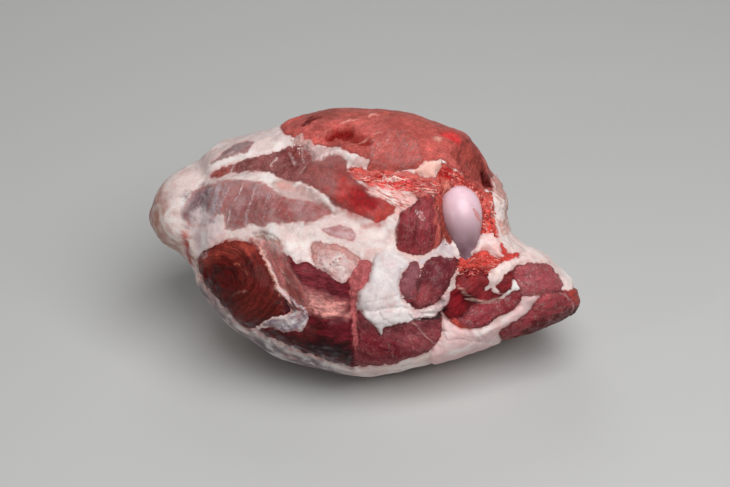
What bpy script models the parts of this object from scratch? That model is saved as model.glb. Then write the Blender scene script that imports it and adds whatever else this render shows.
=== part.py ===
"""A raw bone-in leg of lamb with the shank off, lying on its fat side with its cut face tipped back.

Three pieces: the lean, the fat that wraps the outer side, and the hip end of the thigh bone.
Sizes are in millimetres and angles in degrees. The meshes are made in metres.

The leg is drawn in the directions of its cut face: across to the right, up along the tipped face,
and out of the face. A place on the skin has a turn and a depth angle. The turn goes round the face
from across towards up. The depth angle is 0 in the middle of the face, 90 at its outline and 180 in
the middle of the fat side.
"""
import math

import bmesh
import bpy
import numpy as np
from mathutils import Vector

MM = 0.001
GAP_UNDER_FAT = 0.5
GAP_ROUND_BONE = 0.45

# The whole leg
TIP_BACK = 35.0
FACE_DEPTH = 60.0
FAT_SIDE_DEPTH = 57.0
SLUMP_DEPTH = 22.0
LEAN_OVER = 0.20
SQUARENESS = 0.86
CORE_HALF_LENGTH = 112.0
CORE_HALF_HEIGHT = 79.0
BED_CUT = 10.0
BED_ROUND = 2.5

# The outline of the cut face: turn, distance from its middle
OUTLINE = (
    (0, 93), (5, 84.6), (11, 82.8), (20, 87.2), (30, 86), (45, 83), (60, 78.6), (75, 77.2),
    (90, 76.8), (105, 81.5), (120, 84.4), (132, 89.6), (145, 104), (155, 113), (163, 121.4),
    (170, 127), (175, 125.4), (180, 115.5), (185, 105), (195, 97), (204, 89.5), (212, 87.4),
    (225, 85.2), (240, 80), (255, 76.6), (270, 77), (285, 76.6), (300, 77.8), (312, 85.4),
    (325, 97.8), (336, 114), (344, 129), (348, 124.6), (354, 110),
)

# Where the fat begins: turn, how far inside the outline it shows (behind it if below 0), thickness
FAT_EDGE = (
    (0, 8, 6), (14, 7, 6), (28, 3, 4.5), (42, -6, 4), (75, -9, 4), (108, -7, 4), (126, 5, 4.5),
    (140, 13, 5.5), (156, 15, 7), (170, 30, 9), (180, 24, 9), (190, 6, 5), (205, 3.5, 3.5),
    (216, 7, 4), (228, 12, 5), (246, 11, 5.5), (266, 8, 6), (290, 8, 6), (304, 13, 7),
    (318, 12, 7), (328, -5, 5), (345, -6, 4), (352, 3, 5),
)

# Forms of the cut face: across, up, half length, half width, turn of its length, height
MUSCLES = {
    "shank_knob": (-110, 22, 30, 17, 78, 5.0),
    "shin_muscle": (-58, 25, 50, 18, -4, 4.5),
    "shin_strip": (-68, 47, 36, 8, 21, -2.5),
    "topside": (22, 58, 66, 27, -8, 6.5),
    "topside_dimple": (-19, 61, 17, 8, 10, -4.0),
    "flank_muscle": (-17, 33, 38, 15, -30, 4.0),
    "gristle_ridge": (-14, 48, 24, 6, -18, 2.5),
    "cut_disc": (-73, -27, 34, 28, -62, 7.5),
    "disc_hollow": (-80, -22, 15, 11, 10, -2.5),
    "kneecap_muscle": (-40, -12, 30, 12, -55, 3.5),
    "belly_muscle": (-24, -47, 36, 19, -8, 5.0),
    "rump_front": (26, -60, 36, 16, 4, 3.5),
    "fat_plate": (10, -26, 32, 24, 75, 4.0),
    "upper_eye": (33, 12, 22, 18, 82, 5.0),
    "lower_eye": (40, -21, 22, 16, 58, 4.5),
    "hip_recess": (58, 9, 38, 20, 84, -9.0),
    "chump_pocket": (64, -30, 22, 17, -50, -5.0),
    "chump_inner": (72, -44, 24, 13, 30, 3.0),
    "chump_eye": (101, -23, 24, 16, -14, 5.0),
    "chump_tail": (104, -41, 32, 15, 26, 3.5),
    "hip_rim": (66, 42, 34, 8, -52, 3.0),
}

# Grooves of the cut face: depth, half width, then its line as across, up
GROOVES = {
    "knob": (4.5, 7.0, ((-98, 44), (-97, 22), (-101, 2))),
    "under_topside": (4.0, 6.0, ((-46, 51), (-22, 52), (4, 39), (24, 34), (44, 40))),
    "shin_to_flank": (3.0, 6.0, ((-44, 33), (-22, 19), (2, 9), (18, 4))),
    "disc_edge": (4.0, 6.0, ((-60, 2), (-48, -12), (-40, -33), (-28, -45))),
    "plate_edge": (3.0, 5.5, ((-28, -24), (-8, -34), (-4, -48), (20, -51), (44, -46))),
    "under_lower_eye": (2.5, 6.0, ((26, -41), (38, -46), (50, -42))),
    "between_eyes": (3.0, 6.0, ((20, -3), (32, -5), (48, -2))),
    "beside_lower_eye": (2.5, 6.0, ((55, -8), (54, -22))),
    "chump_seam": (3.0, 6.5, ((74, -34), (84, -30), (92, -20))),
    "chump_fat_line": (2.0, 7.0, ((72, -50), (92, -38), (112, -29))),
    "topside_corner": (4.0, 6.0, ((68, 60), (74, 46), (78, 32))),
}

# Forms of the fat side, in the same measures as the cut face's
FAT_SIDE_FORMS = {
    "silverside": (18, 34, 84, 34, -6, 5.0),
    "knuckle": (-34, -30, 62, 28, 8, 4.0),
    "chump": (84, -10, 40, 42, 60, 3.5),
    "shank_end": (-96, 14, 30, 34, 75, 3.5),
}
FAT_SIDE_GROOVES = {
    "silverside_seam": (3.5, 7.0, ((-92, -6), (-40, 4), (20, -4), (66, 14))),
    "chump_seam": (3.0, 8.0, ((56, 62), (52, 20), (60, -50))),
}

# The bone: where its head shows, the axis it is turned round, and half its width at each length
HEAD_TOP = (52.3, 33.0, 37.0)
HEAD_AXIS = (6.0, -41.0, 3.0)
BONE_PROFILE = (
    (0.0, 0.0), (0.5, 3.4), (2.0, 6.4), (5.0, 9.5), (10.0, 11.7), (16.0, 12.5), (22.0, 11.8), (28.0, 10.1),
    (34.0, 7.9), (39.0, 6.6), (46.0, 6.2), (52.0, 7.4), (54.0, 0.0),
)
BONE_SIDES = 28

# How finely the skin is divided
FACE_CELLS = 22
FAT_CELLS = 11
FINE_ROWS = (0.0, 0.05, 0.12)
COARSE_ROWS = (0.24, 0.40, 0.58, 0.78, 1.0)
EDGE_RAMP = (0.0, 0.6, 1.0)
BACK_RIM = 148.0
GRID_TURN = -20.0


def ring_value(knots, column, turn):
    """The value at a turn in degrees, on a smooth closed curve through the knots."""
    at = np.array([k[0] for k in knots], float)
    value = np.array([k[column] for k in knots], float)
    at = np.concatenate((at[-2:] - 360, at, at[:2] + 360))
    value = np.concatenate((value[-2:], value, value[:2]))
    slope = np.gradient(value, at)
    turn = np.mod(turn, 360.0)
    i = np.clip(np.searchsorted(at, turn, side="right") - 1, 0, len(at) - 2)
    span = at[i + 1] - at[i]
    t = (turn - at[i]) / span
    start = value[i] * (2 * t**3 - 3 * t**2 + 1) + slope[i] * span * (t**3 - 2 * t**2 + t)
    end = value[i + 1] * (3 * t**2 - 2 * t**3) + slope[i + 1] * span * (t**3 - t**2)
    return start + end


def edge_angle(turn):
    """The depth angle at which the fat begins."""
    knots = []
    for knot_turn, inset, _ in FAT_EDGE:
        if inset > 0:
            reach = ring_value(OUTLINE, 1, knot_turn)
            angle = math.asin((1 - inset / reach) ** (1 / SQUARENESS))
        else:
            angle = math.pi / 2 + math.asin((-inset / FAT_SIDE_DEPTH) ** (1 / SQUARENESS))
        knots.append((knot_turn, math.degrees(angle)))
    return ring_value(knots, 1, turn)


def leg_point(turn, depth_angle):
    """A point of the plain leg in the face's directions, before its muscles and grooves."""
    turn_r = np.radians(turn)
    depth_r = np.radians(depth_angle)
    share = np.sin(depth_r) ** SQUARENESS
    oval = 1 / np.hypot(np.cos(turn_r) / CORE_HALF_LENGTH, np.sin(turn_r) / CORE_HALF_HEIGHT)
    reach = share * (oval * (1 - share**2) + ring_value(OUTLINE, 1, turn) * share**2)
    across = reach * np.cos(turn_r)
    up = reach * np.sin(turn_r)
    facing = np.cos(depth_r)
    slump = SLUMP_DEPTH * np.clip(-up / CORE_HALF_HEIGHT, 0, 1)
    depth = np.where(facing > 0, FACE_DEPTH, FAT_SIDE_DEPTH + slump)
    out = np.sign(facing) * np.abs(facing) ** SQUARENESS * depth - LEAN_OVER * up
    return np.stack((across, up, out), axis=1)


def form_height(forms, across, up):
    """The summed height of the rounded forms at each place."""
    height = np.zeros(len(across))
    for x, y, half_length, half_width, turn, rise in forms.values():
        c, s = math.cos(math.radians(turn)), math.sin(math.radians(turn))
        along = ((across - x) * c + (up - y) * s) / half_length
        beside = ((up - y) * c - (across - x) * s) / half_width
        height += rise * np.clip(1 - along**2 - beside**2, 0, 1) ** 1.5
    return height


def line_distance(line, across, up):
    """The distance of each place from a line of straight stretches."""
    place = np.stack((across, up), axis=1)
    nearest = np.full(len(across), np.inf)
    for start, end in zip(line, line[1:]):
        start, run = np.array(start, float), np.subtract(end, start).astype(float)
        t = np.clip((place - start) @ run / (run @ run), 0, 1)
        nearest = np.minimum(nearest, np.linalg.norm(place - start - t[:, None] * run, axis=1))
    return nearest


def groove_depth(grooves, across, up):
    """The depth of the deepest groove at each place."""
    deepest = np.zeros(len(across))
    for depth, half_width, line in grooves.values():
        sink = depth * np.exp(-((line_distance(line, across, up) / half_width) ** 2))
        deepest = np.maximum(deepest, sink)
    return deepest


def grid_turn(i, j):
    """The turn of a square grid's point once its square rings are wrapped into round ones."""
    if i == j == 0:
        return 0.0
    if abs(i) >= abs(j):
        return (45 * j / i + (180 if i < 0 else 0)) % 360
    return (90 - 45 * i / j + (180 if j < 0 else 0)) % 360


def round_grid(cells):
    """A square grid wrapped into a disc: shares of its radius, turns, quads, and its rim in order."""
    index = {(i, j): n for n, (i, j) in enumerate(
        (i, j) for i in range(-cells, cells + 1) for j in range(-cells, cells + 1))}
    share = np.array([max(abs(i), abs(j)) / cells for i, j in index])
    turn = np.array([grid_turn(i, j) for i, j in index])
    quads = [(index[i, j], index[i + 1, j], index[i + 1, j + 1], index[i, j + 1])
             for i in range(-cells, cells) for j in range(-cells, cells)]
    rim = sorted((n for n in index.values() if share[n] == 1), key=lambda n: turn[n])
    return share, turn, quads, rim


def ring_faces(a, b):
    """Quads between two rings of equal count, or triangles from a ring to one of half its count."""
    if len(a) == len(b):
        return [(a[m - 1], a[m], b[m], b[m - 1]) for m in range(len(a))]
    faces = []
    for m in range(len(b)):
        near, mid, far = a[2 * m], a[2 * m + 1], a[(2 * m + 2) % len(a)]
        inner, outer = b[m], b[(m + 1) % len(b)]
        faces += [(near, mid, inner), (mid, outer, inner), (mid, far, outer)]
    return faces


def skin_layout():
    """Turns, depth angles, faces and the share of full fat thickness at each point of the skin."""
    share, face_turn, faces, ring = round_grid(FACE_CELLS)
    turns = [face_turn]
    depths = [share * edge_angle(face_turn + GRID_TURN)]
    fat = [np.where(share == 1, EDGE_RAMP[0], -1.0)]
    count = len(share)
    for n, row in enumerate(FINE_ROWS[1:] + COARSE_ROWS[:-1], start=1):
        points = 8 * (FACE_CELLS if n < len(FINE_ROWS) else FAT_CELLS)
        turn = np.arange(points) * 360 / points
        start = edge_angle(turn + GRID_TURN)
        turns.append(turn)
        depths.append(start + row * (BACK_RIM - start))
        fat.append(np.full(points, EDGE_RAMP[min(n, len(EDGE_RAMP) - 1)]))
        new = list(range(count, count + points))
        faces += ring_faces(ring, new)
        ring, count = new, count + points
    share, back_turn, back_faces, rim = round_grid(FAT_CELLS)
    turns.append(back_turn)
    depths.append(180 - share * (180 - BACK_RIM))
    fat.append(np.ones(len(share)))
    faces += [tuple(n + count for n in face) for face in back_faces]
    faces += ring_faces(ring, [n + count for n in rim])
    return np.concatenate(turns) + GRID_TURN, np.concatenate(depths), faces, np.concatenate(fat)


def cut_in_triangles(points, faces):
    """Every four-sided face cut in two, along the diagonal that folds it least."""
    triangles = []
    for face in faces:
        if len(face) == 3:
            triangles.append(face)
            continue
        a, b, c, d = face
        pairs = (((a, b, c), (a, c, d)), ((a, b, d), (b, c, d)))
        folds = []
        for pair in pairs:
            ways = [np.cross(points[j] - points[i], points[k] - points[i]) for i, j, k in pair]
            folds.append(ways[0] @ ways[1] / (np.linalg.norm(ways[0]) * np.linalg.norm(ways[1])))
        triangles += pairs[int(folds[1] > folds[0])]
    return triangles


def to_world(points):
    """Face directions to the leg's own: across, away from the viewer, and up from the table."""
    c, s = math.cos(math.radians(TIP_BACK)), math.sin(math.radians(TIP_BACK))
    across, up, out = np.asarray(points, float).T
    return np.stack((across, up * s - out * c, up * c + out * s), axis=1)


def new_mesh(name, points, faces):
    """A closed smooth mesh in metres with its faces pointing out."""
    mesh = bpy.data.meshes.new(name)
    mesh.from_pydata([tuple(p) for p in np.asarray(points) * MM], [], faces)
    work = bmesh.new()
    work.from_mesh(mesh)
    bmesh.ops.recalc_face_normals(work, faces=work.faces)
    work.to_mesh(mesh)
    work.free()
    mesh.shade_smooth()
    return mesh


def mesh_normals(points, faces):
    """The skin's direction at each point."""
    mesh = new_mesh("measure", points, faces)
    normals = np.zeros(len(points) * 3, np.float32)
    mesh.vertices.foreach_get("normal", normals)
    bpy.data.meshes.remove(mesh)
    return normals.reshape(-1, 3).astype(float)


def pressed_flat(points):
    """The leg's underside pressed flat by its own weight, with a rounded edge to the flat."""
    floor = points[:, 2].min() + BED_CUT
    height = points[:, 2] - floor
    edge = (height + BED_ROUND) ** 2 / (4 * BED_ROUND)
    points[:, 2] = floor + np.where(height < -BED_ROUND, 0, np.where(height < BED_ROUND, edge, height))
    return points


def leg_skin():
    """The whole leg's skin: points, ways out, faces, and fat thickness, below 0 on the bare face."""
    turn, depth, faces, fat_share = skin_layout()
    plain = leg_point(turn, depth)
    across, up, _ = plain.T
    face_rise = form_height(MUSCLES, across, up) - groove_depth(GROOVES, across, up)
    back_rise = form_height(FAT_SIDE_FORMS, across, up) - groove_depth(FAT_SIDE_GROOVES, across, up)
    shown = np.clip((96 - depth) / 16, 0, 1)
    hidden = np.clip((depth - 100) / 20, 0, 1)
    points = to_world(plain)
    outward = mesh_normals(points, faces)
    rise = face_rise * shown + back_rise * hidden
    points = pressed_flat(points + outward * rise[:, None])
    thickness = np.where(fat_share < 0, -1, fat_share * ring_value(FAT_EDGE, 2, turn))
    return points, outward, cut_in_triangles(points, faces), thickness


def lean_mesh(points, outward, faces, thickness):
    """The lean: the bare face as it is, and the rest one gap under the fat."""
    inset = np.where(thickness < 0, 0, thickness + GAP_UNDER_FAT)
    return new_mesh("lean_meat", points - outward * inset[:, None], faces)


def fat_mesh(points, outward, faces, thickness):
    """The fat: the skin of the covered side and a wall inside it, which meet at the fat's edge."""
    covered = [face for face in faces if all(thickness[n] >= 0 for n in face)]
    used = sorted({n for face in covered for n in face})
    outer = {n: i for i, n in enumerate(used)}
    inner = dict(outer)
    places = [points[n] for n in used]
    for n in used:
        if thickness[n] > 0:
            inner[n] = len(places)
            places.append(points[n] - outward[n] * thickness[n])
    walls = [tuple(outer[n] for n in face) for face in covered]
    walls += [tuple(inner[n] for n in reversed(face)) for face in covered]
    return new_mesh("fat_cover", places, walls)


def turned_bone(name, swell):
    """The bone's profile spun round its axis, made wider all over by swell."""
    work = bmesh.new()
    profile = [(max(0.0, width + (swell if width else 0)), length) for length, width in BONE_PROFILE]
    profile[0] = (0.0, -swell)
    profile[-1] = (0.0, profile[-1][1] + swell)
    corners = [work.verts.new((x * MM, 0, -z * MM)) for x, z in profile]
    edges = [work.edges.new(pair) for pair in zip(corners, corners[1:])]
    bmesh.ops.spin(work, geom=corners + edges, cent=(0, 0, 0), axis=(0, 0, 1), angle=math.tau,
                   steps=BONE_SIDES, use_merge=True)
    bmesh.ops.remove_doubles(work, verts=work.verts, dist=1e-6)
    bmesh.ops.recalc_face_normals(work, faces=work.faces)
    mesh = bpy.data.meshes.new(name)
    work.to_mesh(mesh)
    work.free()
    mesh.shade_smooth()
    return mesh


def material(name, colour, roughness):
    finish = bpy.data.materials.new(name)
    finish.use_nodes = True
    shader = finish.node_tree.nodes["Principled BSDF"]
    shader.inputs["Base Color"].default_value = (*colour, 1)
    shader.inputs["Roughness"].default_value = roughness
    shader.inputs["Metallic"].default_value = 0
    return finish


def add(name, mesh, finish=None):
    thing = bpy.data.objects.new(name, mesh)
    bpy.context.scene.collection.objects.link(thing)
    if finish:
        mesh.materials.append(finish)
    return thing


def place_bone(thing, middle):
    """Stands the bone's axis where its head shows, in the leg's own directions."""
    top, run = to_world([HEAD_TOP])[0], to_world([HEAD_AXIS])[0]
    thing.location = Vector((top - middle) * MM)
    thing.rotation_mode = "QUATERNION"
    thing.rotation_quaternion = (-Vector(run)).to_track_quat("Z", "Y")


def main():
    for old in list(bpy.data.objects):
        bpy.data.objects.remove(old)
    points, outward, faces, thickness = leg_skin()
    low, high = points.min(axis=0), points.max(axis=0)
    middle = np.array([(low[0] + high[0]) / 2, (low[1] + high[1]) / 2, low[2]])
    lean = add("lean_meat", lean_mesh(points - middle, outward, faces, thickness),
               material("raw_lean", (0.36, 0.06, 0.06), 0.35))
    add("fat_cover", fat_mesh(points - middle, outward, faces, thickness),
        material("raw_fat", (0.76, 0.63, 0.58), 0.45))
    bone = add("femur_head", turned_bone("femur_head", 0), material("gristle", (0.66, 0.50, 0.54), 0.2))
    cutter = add("femur_pocket", turned_bone("femur_pocket", GAP_ROUND_BONE))
    cutter.hide_render = True
    cutter.display_type = "WIRE"
    for thing in (bone, cutter):
        place_bone(thing, middle)
    pocket = lean.modifiers.new("bone_pocket", "BOOLEAN")
    pocket.operation = "DIFFERENCE"
    pocket.solver = "EXACT"
    pocket.object = cutter


main()
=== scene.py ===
import math

import bpy
import numpy as np
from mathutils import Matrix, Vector, kdtree, noise


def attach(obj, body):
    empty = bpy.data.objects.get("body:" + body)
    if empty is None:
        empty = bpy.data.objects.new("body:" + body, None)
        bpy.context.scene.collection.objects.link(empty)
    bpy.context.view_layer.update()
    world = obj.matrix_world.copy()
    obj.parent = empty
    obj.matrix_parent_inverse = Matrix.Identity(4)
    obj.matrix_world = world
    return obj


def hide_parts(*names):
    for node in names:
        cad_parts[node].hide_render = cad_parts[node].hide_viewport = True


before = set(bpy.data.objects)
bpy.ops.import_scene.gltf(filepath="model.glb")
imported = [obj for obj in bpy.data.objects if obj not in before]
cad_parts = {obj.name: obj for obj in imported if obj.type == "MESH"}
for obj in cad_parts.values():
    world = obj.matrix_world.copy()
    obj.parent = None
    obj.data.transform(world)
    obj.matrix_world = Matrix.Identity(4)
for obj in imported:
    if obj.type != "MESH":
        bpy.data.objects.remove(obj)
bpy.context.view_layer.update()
print("frame loaded:", ", ".join(sorted(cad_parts)))

mm = 0.001

# the leg's own form, with the same sizes as its solids, in millimetres and degrees

legForm = {
    "tipBack": 35.0,
    "faceDepth": 60.0,
    "fatSideDepth": 57.0,
    "slumpDepth": 22.0,
    "leanOver": 0.20,
    "squareness": 0.86,
    "coreHalfLength": 112.0,
    "coreHalfHeight": 79.0,
    "bedRound": 2.5,
    "backRim": 148.0,
    "gridTurn": -20.0,
    "faceEnds": (96, 16),
    "backBegins": (100, 20),
    "baseMiddle": (-0.661, -1.004, -62.719),
}

# turn, distance from the face's middle
outlineKnots = (
    (0, 93), (5, 84.6), (11, 82.8), (20, 87.2), (30, 86), (45, 83), (60, 78.6), (75, 77.2), (90, 76.8),
    (105, 81.5), (120, 84.4), (132, 89.6), (145, 104), (155, 113), (163, 121.4), (170, 127), (175, 125.4),
    (180, 115.5), (185, 105), (195, 97), (204, 89.5), (212, 87.4), (225, 85.2), (240, 80), (255, 76.6),
    (270, 77), (285, 76.6), (300, 77.8), (312, 85.4), (325, 97.8), (336, 114), (344, 129), (348, 124.6),
    (354, 110),
)

# turn, how far inside the outline the fat begins, its thickness
fatEdgeKnots = (
    (0, 8, 6), (14, 7, 6), (28, 3, 4.5), (42, -6, 4), (75, -9, 4), (108, -7, 4), (126, 5, 4.5),
    (140, 13, 5.5), (156, 15, 7), (170, 30, 9), (180, 24, 9), (190, 6, 5), (205, 3.5, 3.5), (216, 7, 4),
    (228, 12, 5), (246, 11, 5.5), (266, 8, 6), (290, 8, 6), (304, 13, 7), (318, 12, 7), (328, -5, 5),
    (345, -6, 4), (352, 3, 5),
)

# forms and grooves lie on the leg from the face's middle. A form has its place across and up, its half
# length, half width, turn and height; a groove its depth, half width and line.
faceForms = {
    "shankKnob": (-110, 22, 30, 17, 78, 5.0),
    "shinMuscle": (-58, 25, 50, 18, -4, 4.5),
    "shinStrip": (-68, 47, 36, 8, 21, -2.5),
    "topside": (22, 58, 66, 27, -8, 6.5),
    "topsideDimple": (-19, 61, 17, 8, 10, -4.0),
    "flankMuscle": (-17, 33, 38, 15, -30, 4.0),
    "gristleRidge": (-14, 48, 24, 6, -18, 2.5),
    "cutDisc": (-73, -27, 34, 28, -62, 7.5),
    "discHollow": (-80, -22, 15, 11, 10, -2.5),
    "kneecapMuscle": (-40, -12, 30, 12, -55, 3.5),
    "bellyMuscle": (-24, -47, 36, 19, -8, 5.0),
    "rumpFront": (26, -60, 36, 16, 4, 3.5),
    "fatPlate": (10, -26, 32, 24, 75, 4.0),
    "upperEye": (33, 12, 22, 18, 82, 5.0),
    "lowerEye": (40, -21, 22, 16, 58, 4.5),
    "hipRecess": (58, 9, 38, 20, 84, -9.0),
    "chumpPocket": (64, -30, 22, 17, -50, -5.0),
    "chumpInner": (72, -44, 24, 13, 30, 3.0),
    "chumpEye": (101, -23, 24, 16, -14, 5.0),
    "chumpTail": (104, -41, 32, 15, 26, 3.5),
    "hipRim": (66, 42, 34, 8, -52, 3.0),
}
faceGrooves = {
    "knob": (4.5, 7.0, ((-98, 44), (-97, 22), (-101, 2))),
    "underTopside": (4.0, 6.0, ((-46, 51), (-22, 52), (4, 39), (24, 34), (44, 40))),
    "shinToFlank": (3.0, 6.0, ((-44, 33), (-22, 19), (2, 9), (18, 4))),
    "discEdge": (4.0, 6.0, ((-60, 2), (-48, -12), (-40, -33), (-28, -45))),
    "plateEdge": (3.0, 5.5, ((-28, -24), (-8, -34), (-4, -48), (20, -51), (44, -46))),
    "underLowerEye": (2.5, 6.0, ((26, -41), (38, -46), (50, -42))),
    "betweenEyes": (3.0, 6.0, ((20, -3), (32, -5), (48, -2))),
    "besideLowerEye": (2.5, 6.0, ((55, -8), (54, -22))),
    "chumpSeam": (3.0, 6.5, ((74, -34), (84, -30), (92, -20))),
    "chumpFatLine": (2.0, 7.0, ((72, -50), (92, -38), (112, -29))),
    "topsideCorner": (4.0, 6.0, ((68, 60), (74, 46), (78, 32))),
}
fatSideForms = {
    "silverside": (18, 34, 84, 34, -6, 5.0),
    "knuckle": (-34, -30, 62, 28, 8, 4.0),
    "chump": (84, -10, 40, 42, 60, 3.5),
    "shankEnd": (-96, 14, 30, 34, 75, 3.5),
}
fatSideGrooves = {
    "silversideSeam": (3.5, 7.0, ((-92, -6), (-40, 4), (20, -4), (66, 14))),
    "chumpSeam": (3.0, 8.0, ((56, 62), (52, 20), (60, -50))),
}


def ringValue(knots, column, turn):
    at = np.array([k[0] for k in knots], float)
    value = np.array([k[column] for k in knots], float)
    at = np.concatenate((at[-2:] - 360, at, at[:2] + 360))
    value = np.concatenate((value[-2:], value, value[:2]))
    slope = np.gradient(value, at)
    turn = np.mod(turn, 360.0)
    i = np.clip(np.searchsorted(at, turn, side="right") - 1, 0, len(at) - 2)
    span = at[i + 1] - at[i]
    t = (turn - at[i]) / span
    start = value[i] * (2 * t**3 - 3 * t**2 + 1) + slope[i] * span * (t**3 - 2 * t**2 + t)
    return start + value[i + 1] * (3 * t**2 - 2 * t**3) + slope[i + 1] * span * (t**3 - t**2)


def fatStart(turn):
    knots = []
    for at, inset, _ in fatEdgeKnots:
        if inset > 0:
            angle = math.asin((1 - inset / ringValue(outlineKnots, 1, at)) ** (1 / legForm["squareness"]))
        else:
            share = (-inset / legForm["fatSideDepth"]) ** (1 / legForm["squareness"])
            angle = math.pi / 2 + math.asin(share)
        knots.append((at, math.degrees(angle)))
    return ringValue(knots, 1, turn)


def plainLeg(turn, depth):
    f = legForm
    turnR, depthR = np.radians(turn), np.radians(depth)
    share = np.sin(depthR) ** f["squareness"]
    oval = 1 / np.hypot(np.cos(turnR) / f["coreHalfLength"], np.sin(turnR) / f["coreHalfHeight"])
    reach = share * (oval * (1 - share**2) + ringValue(outlineKnots, 1, turn) * share**2)
    across, up, facing = reach * np.cos(turnR), reach * np.sin(turnR), np.cos(depthR)
    slump = f["slumpDepth"] * np.clip(-up / f["coreHalfHeight"], 0, 1)
    thick = np.where(facing > 0, f["faceDepth"], f["fatSideDepth"] + slump)
    out = np.sign(facing) * np.abs(facing) ** f["squareness"] * thick - f["leanOver"] * up
    return np.stack((across, up, out), axis=1)


def formHeight(forms, across, up):
    height = np.zeros(len(across))
    for x, y, halfLength, halfWidth, turn, rise in forms.values():
        c, s = math.cos(math.radians(turn)), math.sin(math.radians(turn))
        along = ((across - x) * c + (up - y) * s) / halfLength
        beside = ((up - y) * c - (across - x) * s) / halfWidth
        height += rise * np.clip(1 - along**2 - beside**2, 0, 1) ** 1.5
    return height


def lineDistance(line, place):
    nearest = np.full(len(place), np.inf)
    for start, end in zip(line, line[1:]):
        start, run = np.array(start, float), np.subtract(end, start).astype(float)
        t = np.clip((place - start) @ run / max(run @ run, 1e-9), 0, 1)
        nearest = np.minimum(nearest, np.linalg.norm(place - start - t[:, None] * run, axis=1))
    return nearest


def grooveDepth(grooves, place):
    deepest = np.zeros(len(place))
    for depth, halfWidth, line in grooves.values():
        deepest = np.maximum(deepest, depth * np.exp(-((lineDistance(line, place) / halfWidth) ** 2)))
    return deepest


def toTable(points):
    c, s = math.cos(math.radians(legForm["tipBack"])), math.sin(math.radians(legForm["tipBack"]))
    across, up, out = np.asarray(points, float).T
    return np.stack((across, up * s - out * c, up * c + out * s), axis=1)


def meshFrom(name, points, faces):
    mesh = bpy.data.meshes.new(name)
    sizes = np.array([len(f) for f in faces], np.int32)
    mesh.vertices.add(len(points))
    mesh.vertices.foreach_set("co", (np.asarray(points) * mm).astype(np.float32).ravel())
    mesh.loops.add(int(sizes.sum()))
    mesh.loops.foreach_set("vertex_index", np.fromiter((v for f in faces for v in f), np.int32))
    mesh.polygons.add(len(faces))
    mesh.polygons.foreach_set("loop_start", np.concatenate(([0], np.cumsum(sizes)[:-1])).astype(np.int32))
    mesh.update(calc_edges=True)
    mesh.validate()
    mesh.shade_smooth()
    return mesh


def vertexNormals(mesh):
    normals = np.zeros(len(mesh.vertices) * 3, np.float32)
    mesh.vertices.foreach_get("normal", normals)
    return normals.reshape(-1, 3).astype(float)


# the skin's grid: a square grid wrapped round the face, belts beside it, and one on the back

def gridTurn(i, j):
    if i == j == 0:
        return 0.0
    if abs(i) >= abs(j):
        return (45 * j / i + (180 if i < 0 else 0)) % 360
    return (90 - 45 * i / j + (180 if j < 0 else 0)) % 360


def roundGrid(cells):
    side = range(-cells, cells + 1)
    index = {(i, j): n for n, (i, j) in enumerate((i, j) for i in side for j in side)}
    share = np.array([max(abs(i), abs(j)) / cells for i, j in index])
    turn = np.array([gridTurn(i, j) for i, j in index])
    quads = [(index[i, j], index[i + 1, j], index[i + 1, j + 1], index[i, j + 1])
             for i in side[:-1] for j in side[:-1]]
    rim = sorted((n for n in index.values() if share[n] == 1), key=lambda n: turn[n])
    return share, turn, quads, rim


def ringFaces(a, b):
    if len(a) == len(b):
        return [(a[m], a[m - 1], b[m - 1], b[m]) for m in range(len(a))]
    faces = []
    for m in range(len(b)):
        near, mid, far = a[2 * m], a[2 * m + 1], a[(2 * m + 2) % len(a)]
        inner, outer = b[m], b[(m + 1) % len(b)]
        faces += [(mid, near, inner), (mid, inner, outer), (far, mid, outer)]
    return faces


class SkinGrid:
    # the skin's points as turns, depths and rows, gathered outwards from a first ring. A row is the share
    # of the way from the fat's edge to the back rim.
    def __init__(self, turn, depth, row, faces, ring):
        self.parts = [(turn, depth, row)]
        self.faces, self.ring, self.count = faces, ring, len(turn)

    def grow(self, turn, depth, row):
        self.parts.append((turn, depth, row))
        self.count += len(turn)

    def belt(self, rows):
        # rows: (share of the way to the back rim, points round)
        for row, points in rows:
            turn = np.arange(points) * 360 / points + legForm["gridTurn"]
            start = fatStart(turn)
            outer = list(range(self.count, self.count + points))
            self.faces += ringFaces(self.ring, outer)
            self.ring = outer
            self.grow(turn, start + row * (legForm["backRim"] - start), np.full(points, row))

    def back(self, cells):
        share, turn, quads, rim = roundGrid(cells)
        self.faces += [tuple(n + self.count for n in reversed(quad)) for quad in quads]
        self.faces += ringFaces(self.ring, [n + self.count for n in rim])
        depth = 180 - share * (180 - legForm["backRim"])
        self.grow(turn + legForm["gridTurn"], depth, np.ones(len(turn)))

    def points(self):
        return (np.concatenate(part) for part in zip(*self.parts))


def halvingRows(points, rows):
    # each row has half as many points as the one before it
    return [(row, points // 2 ** (k + 1)) for k, row in enumerate(rows)]


def legSkin(turn, depth, faces):
    plain = plainLeg(turn, depth)
    across, up, _ = plain.T
    place = plain[:, :2]
    faceRise = formHeight(faceForms, across, up) - grooveDepth(faceGrooves, place)
    backRise = formHeight(fatSideForms, across, up) - grooveDepth(fatSideGrooves, place)
    ends, endsOver = legForm["faceEnds"]
    begins, beginsOver = legForm["backBegins"]
    rise = faceRise * np.clip((ends - depth) / endsOver, 0, 1)
    rise += backRise * np.clip((depth - begins) / beginsOver, 0, 1)
    points = toTable(plain)
    mesh = meshFrom("plain", points, faces)
    outward = vertexNormals(mesh)
    middle = points.mean(axis=0)
    if ((points - middle) * outward).sum() < 0:
        outward = -outward
    bpy.data.meshes.remove(mesh)
    return points + outward * rise[:, None], outward


floorLevel = legForm["baseMiddle"][2]


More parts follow.
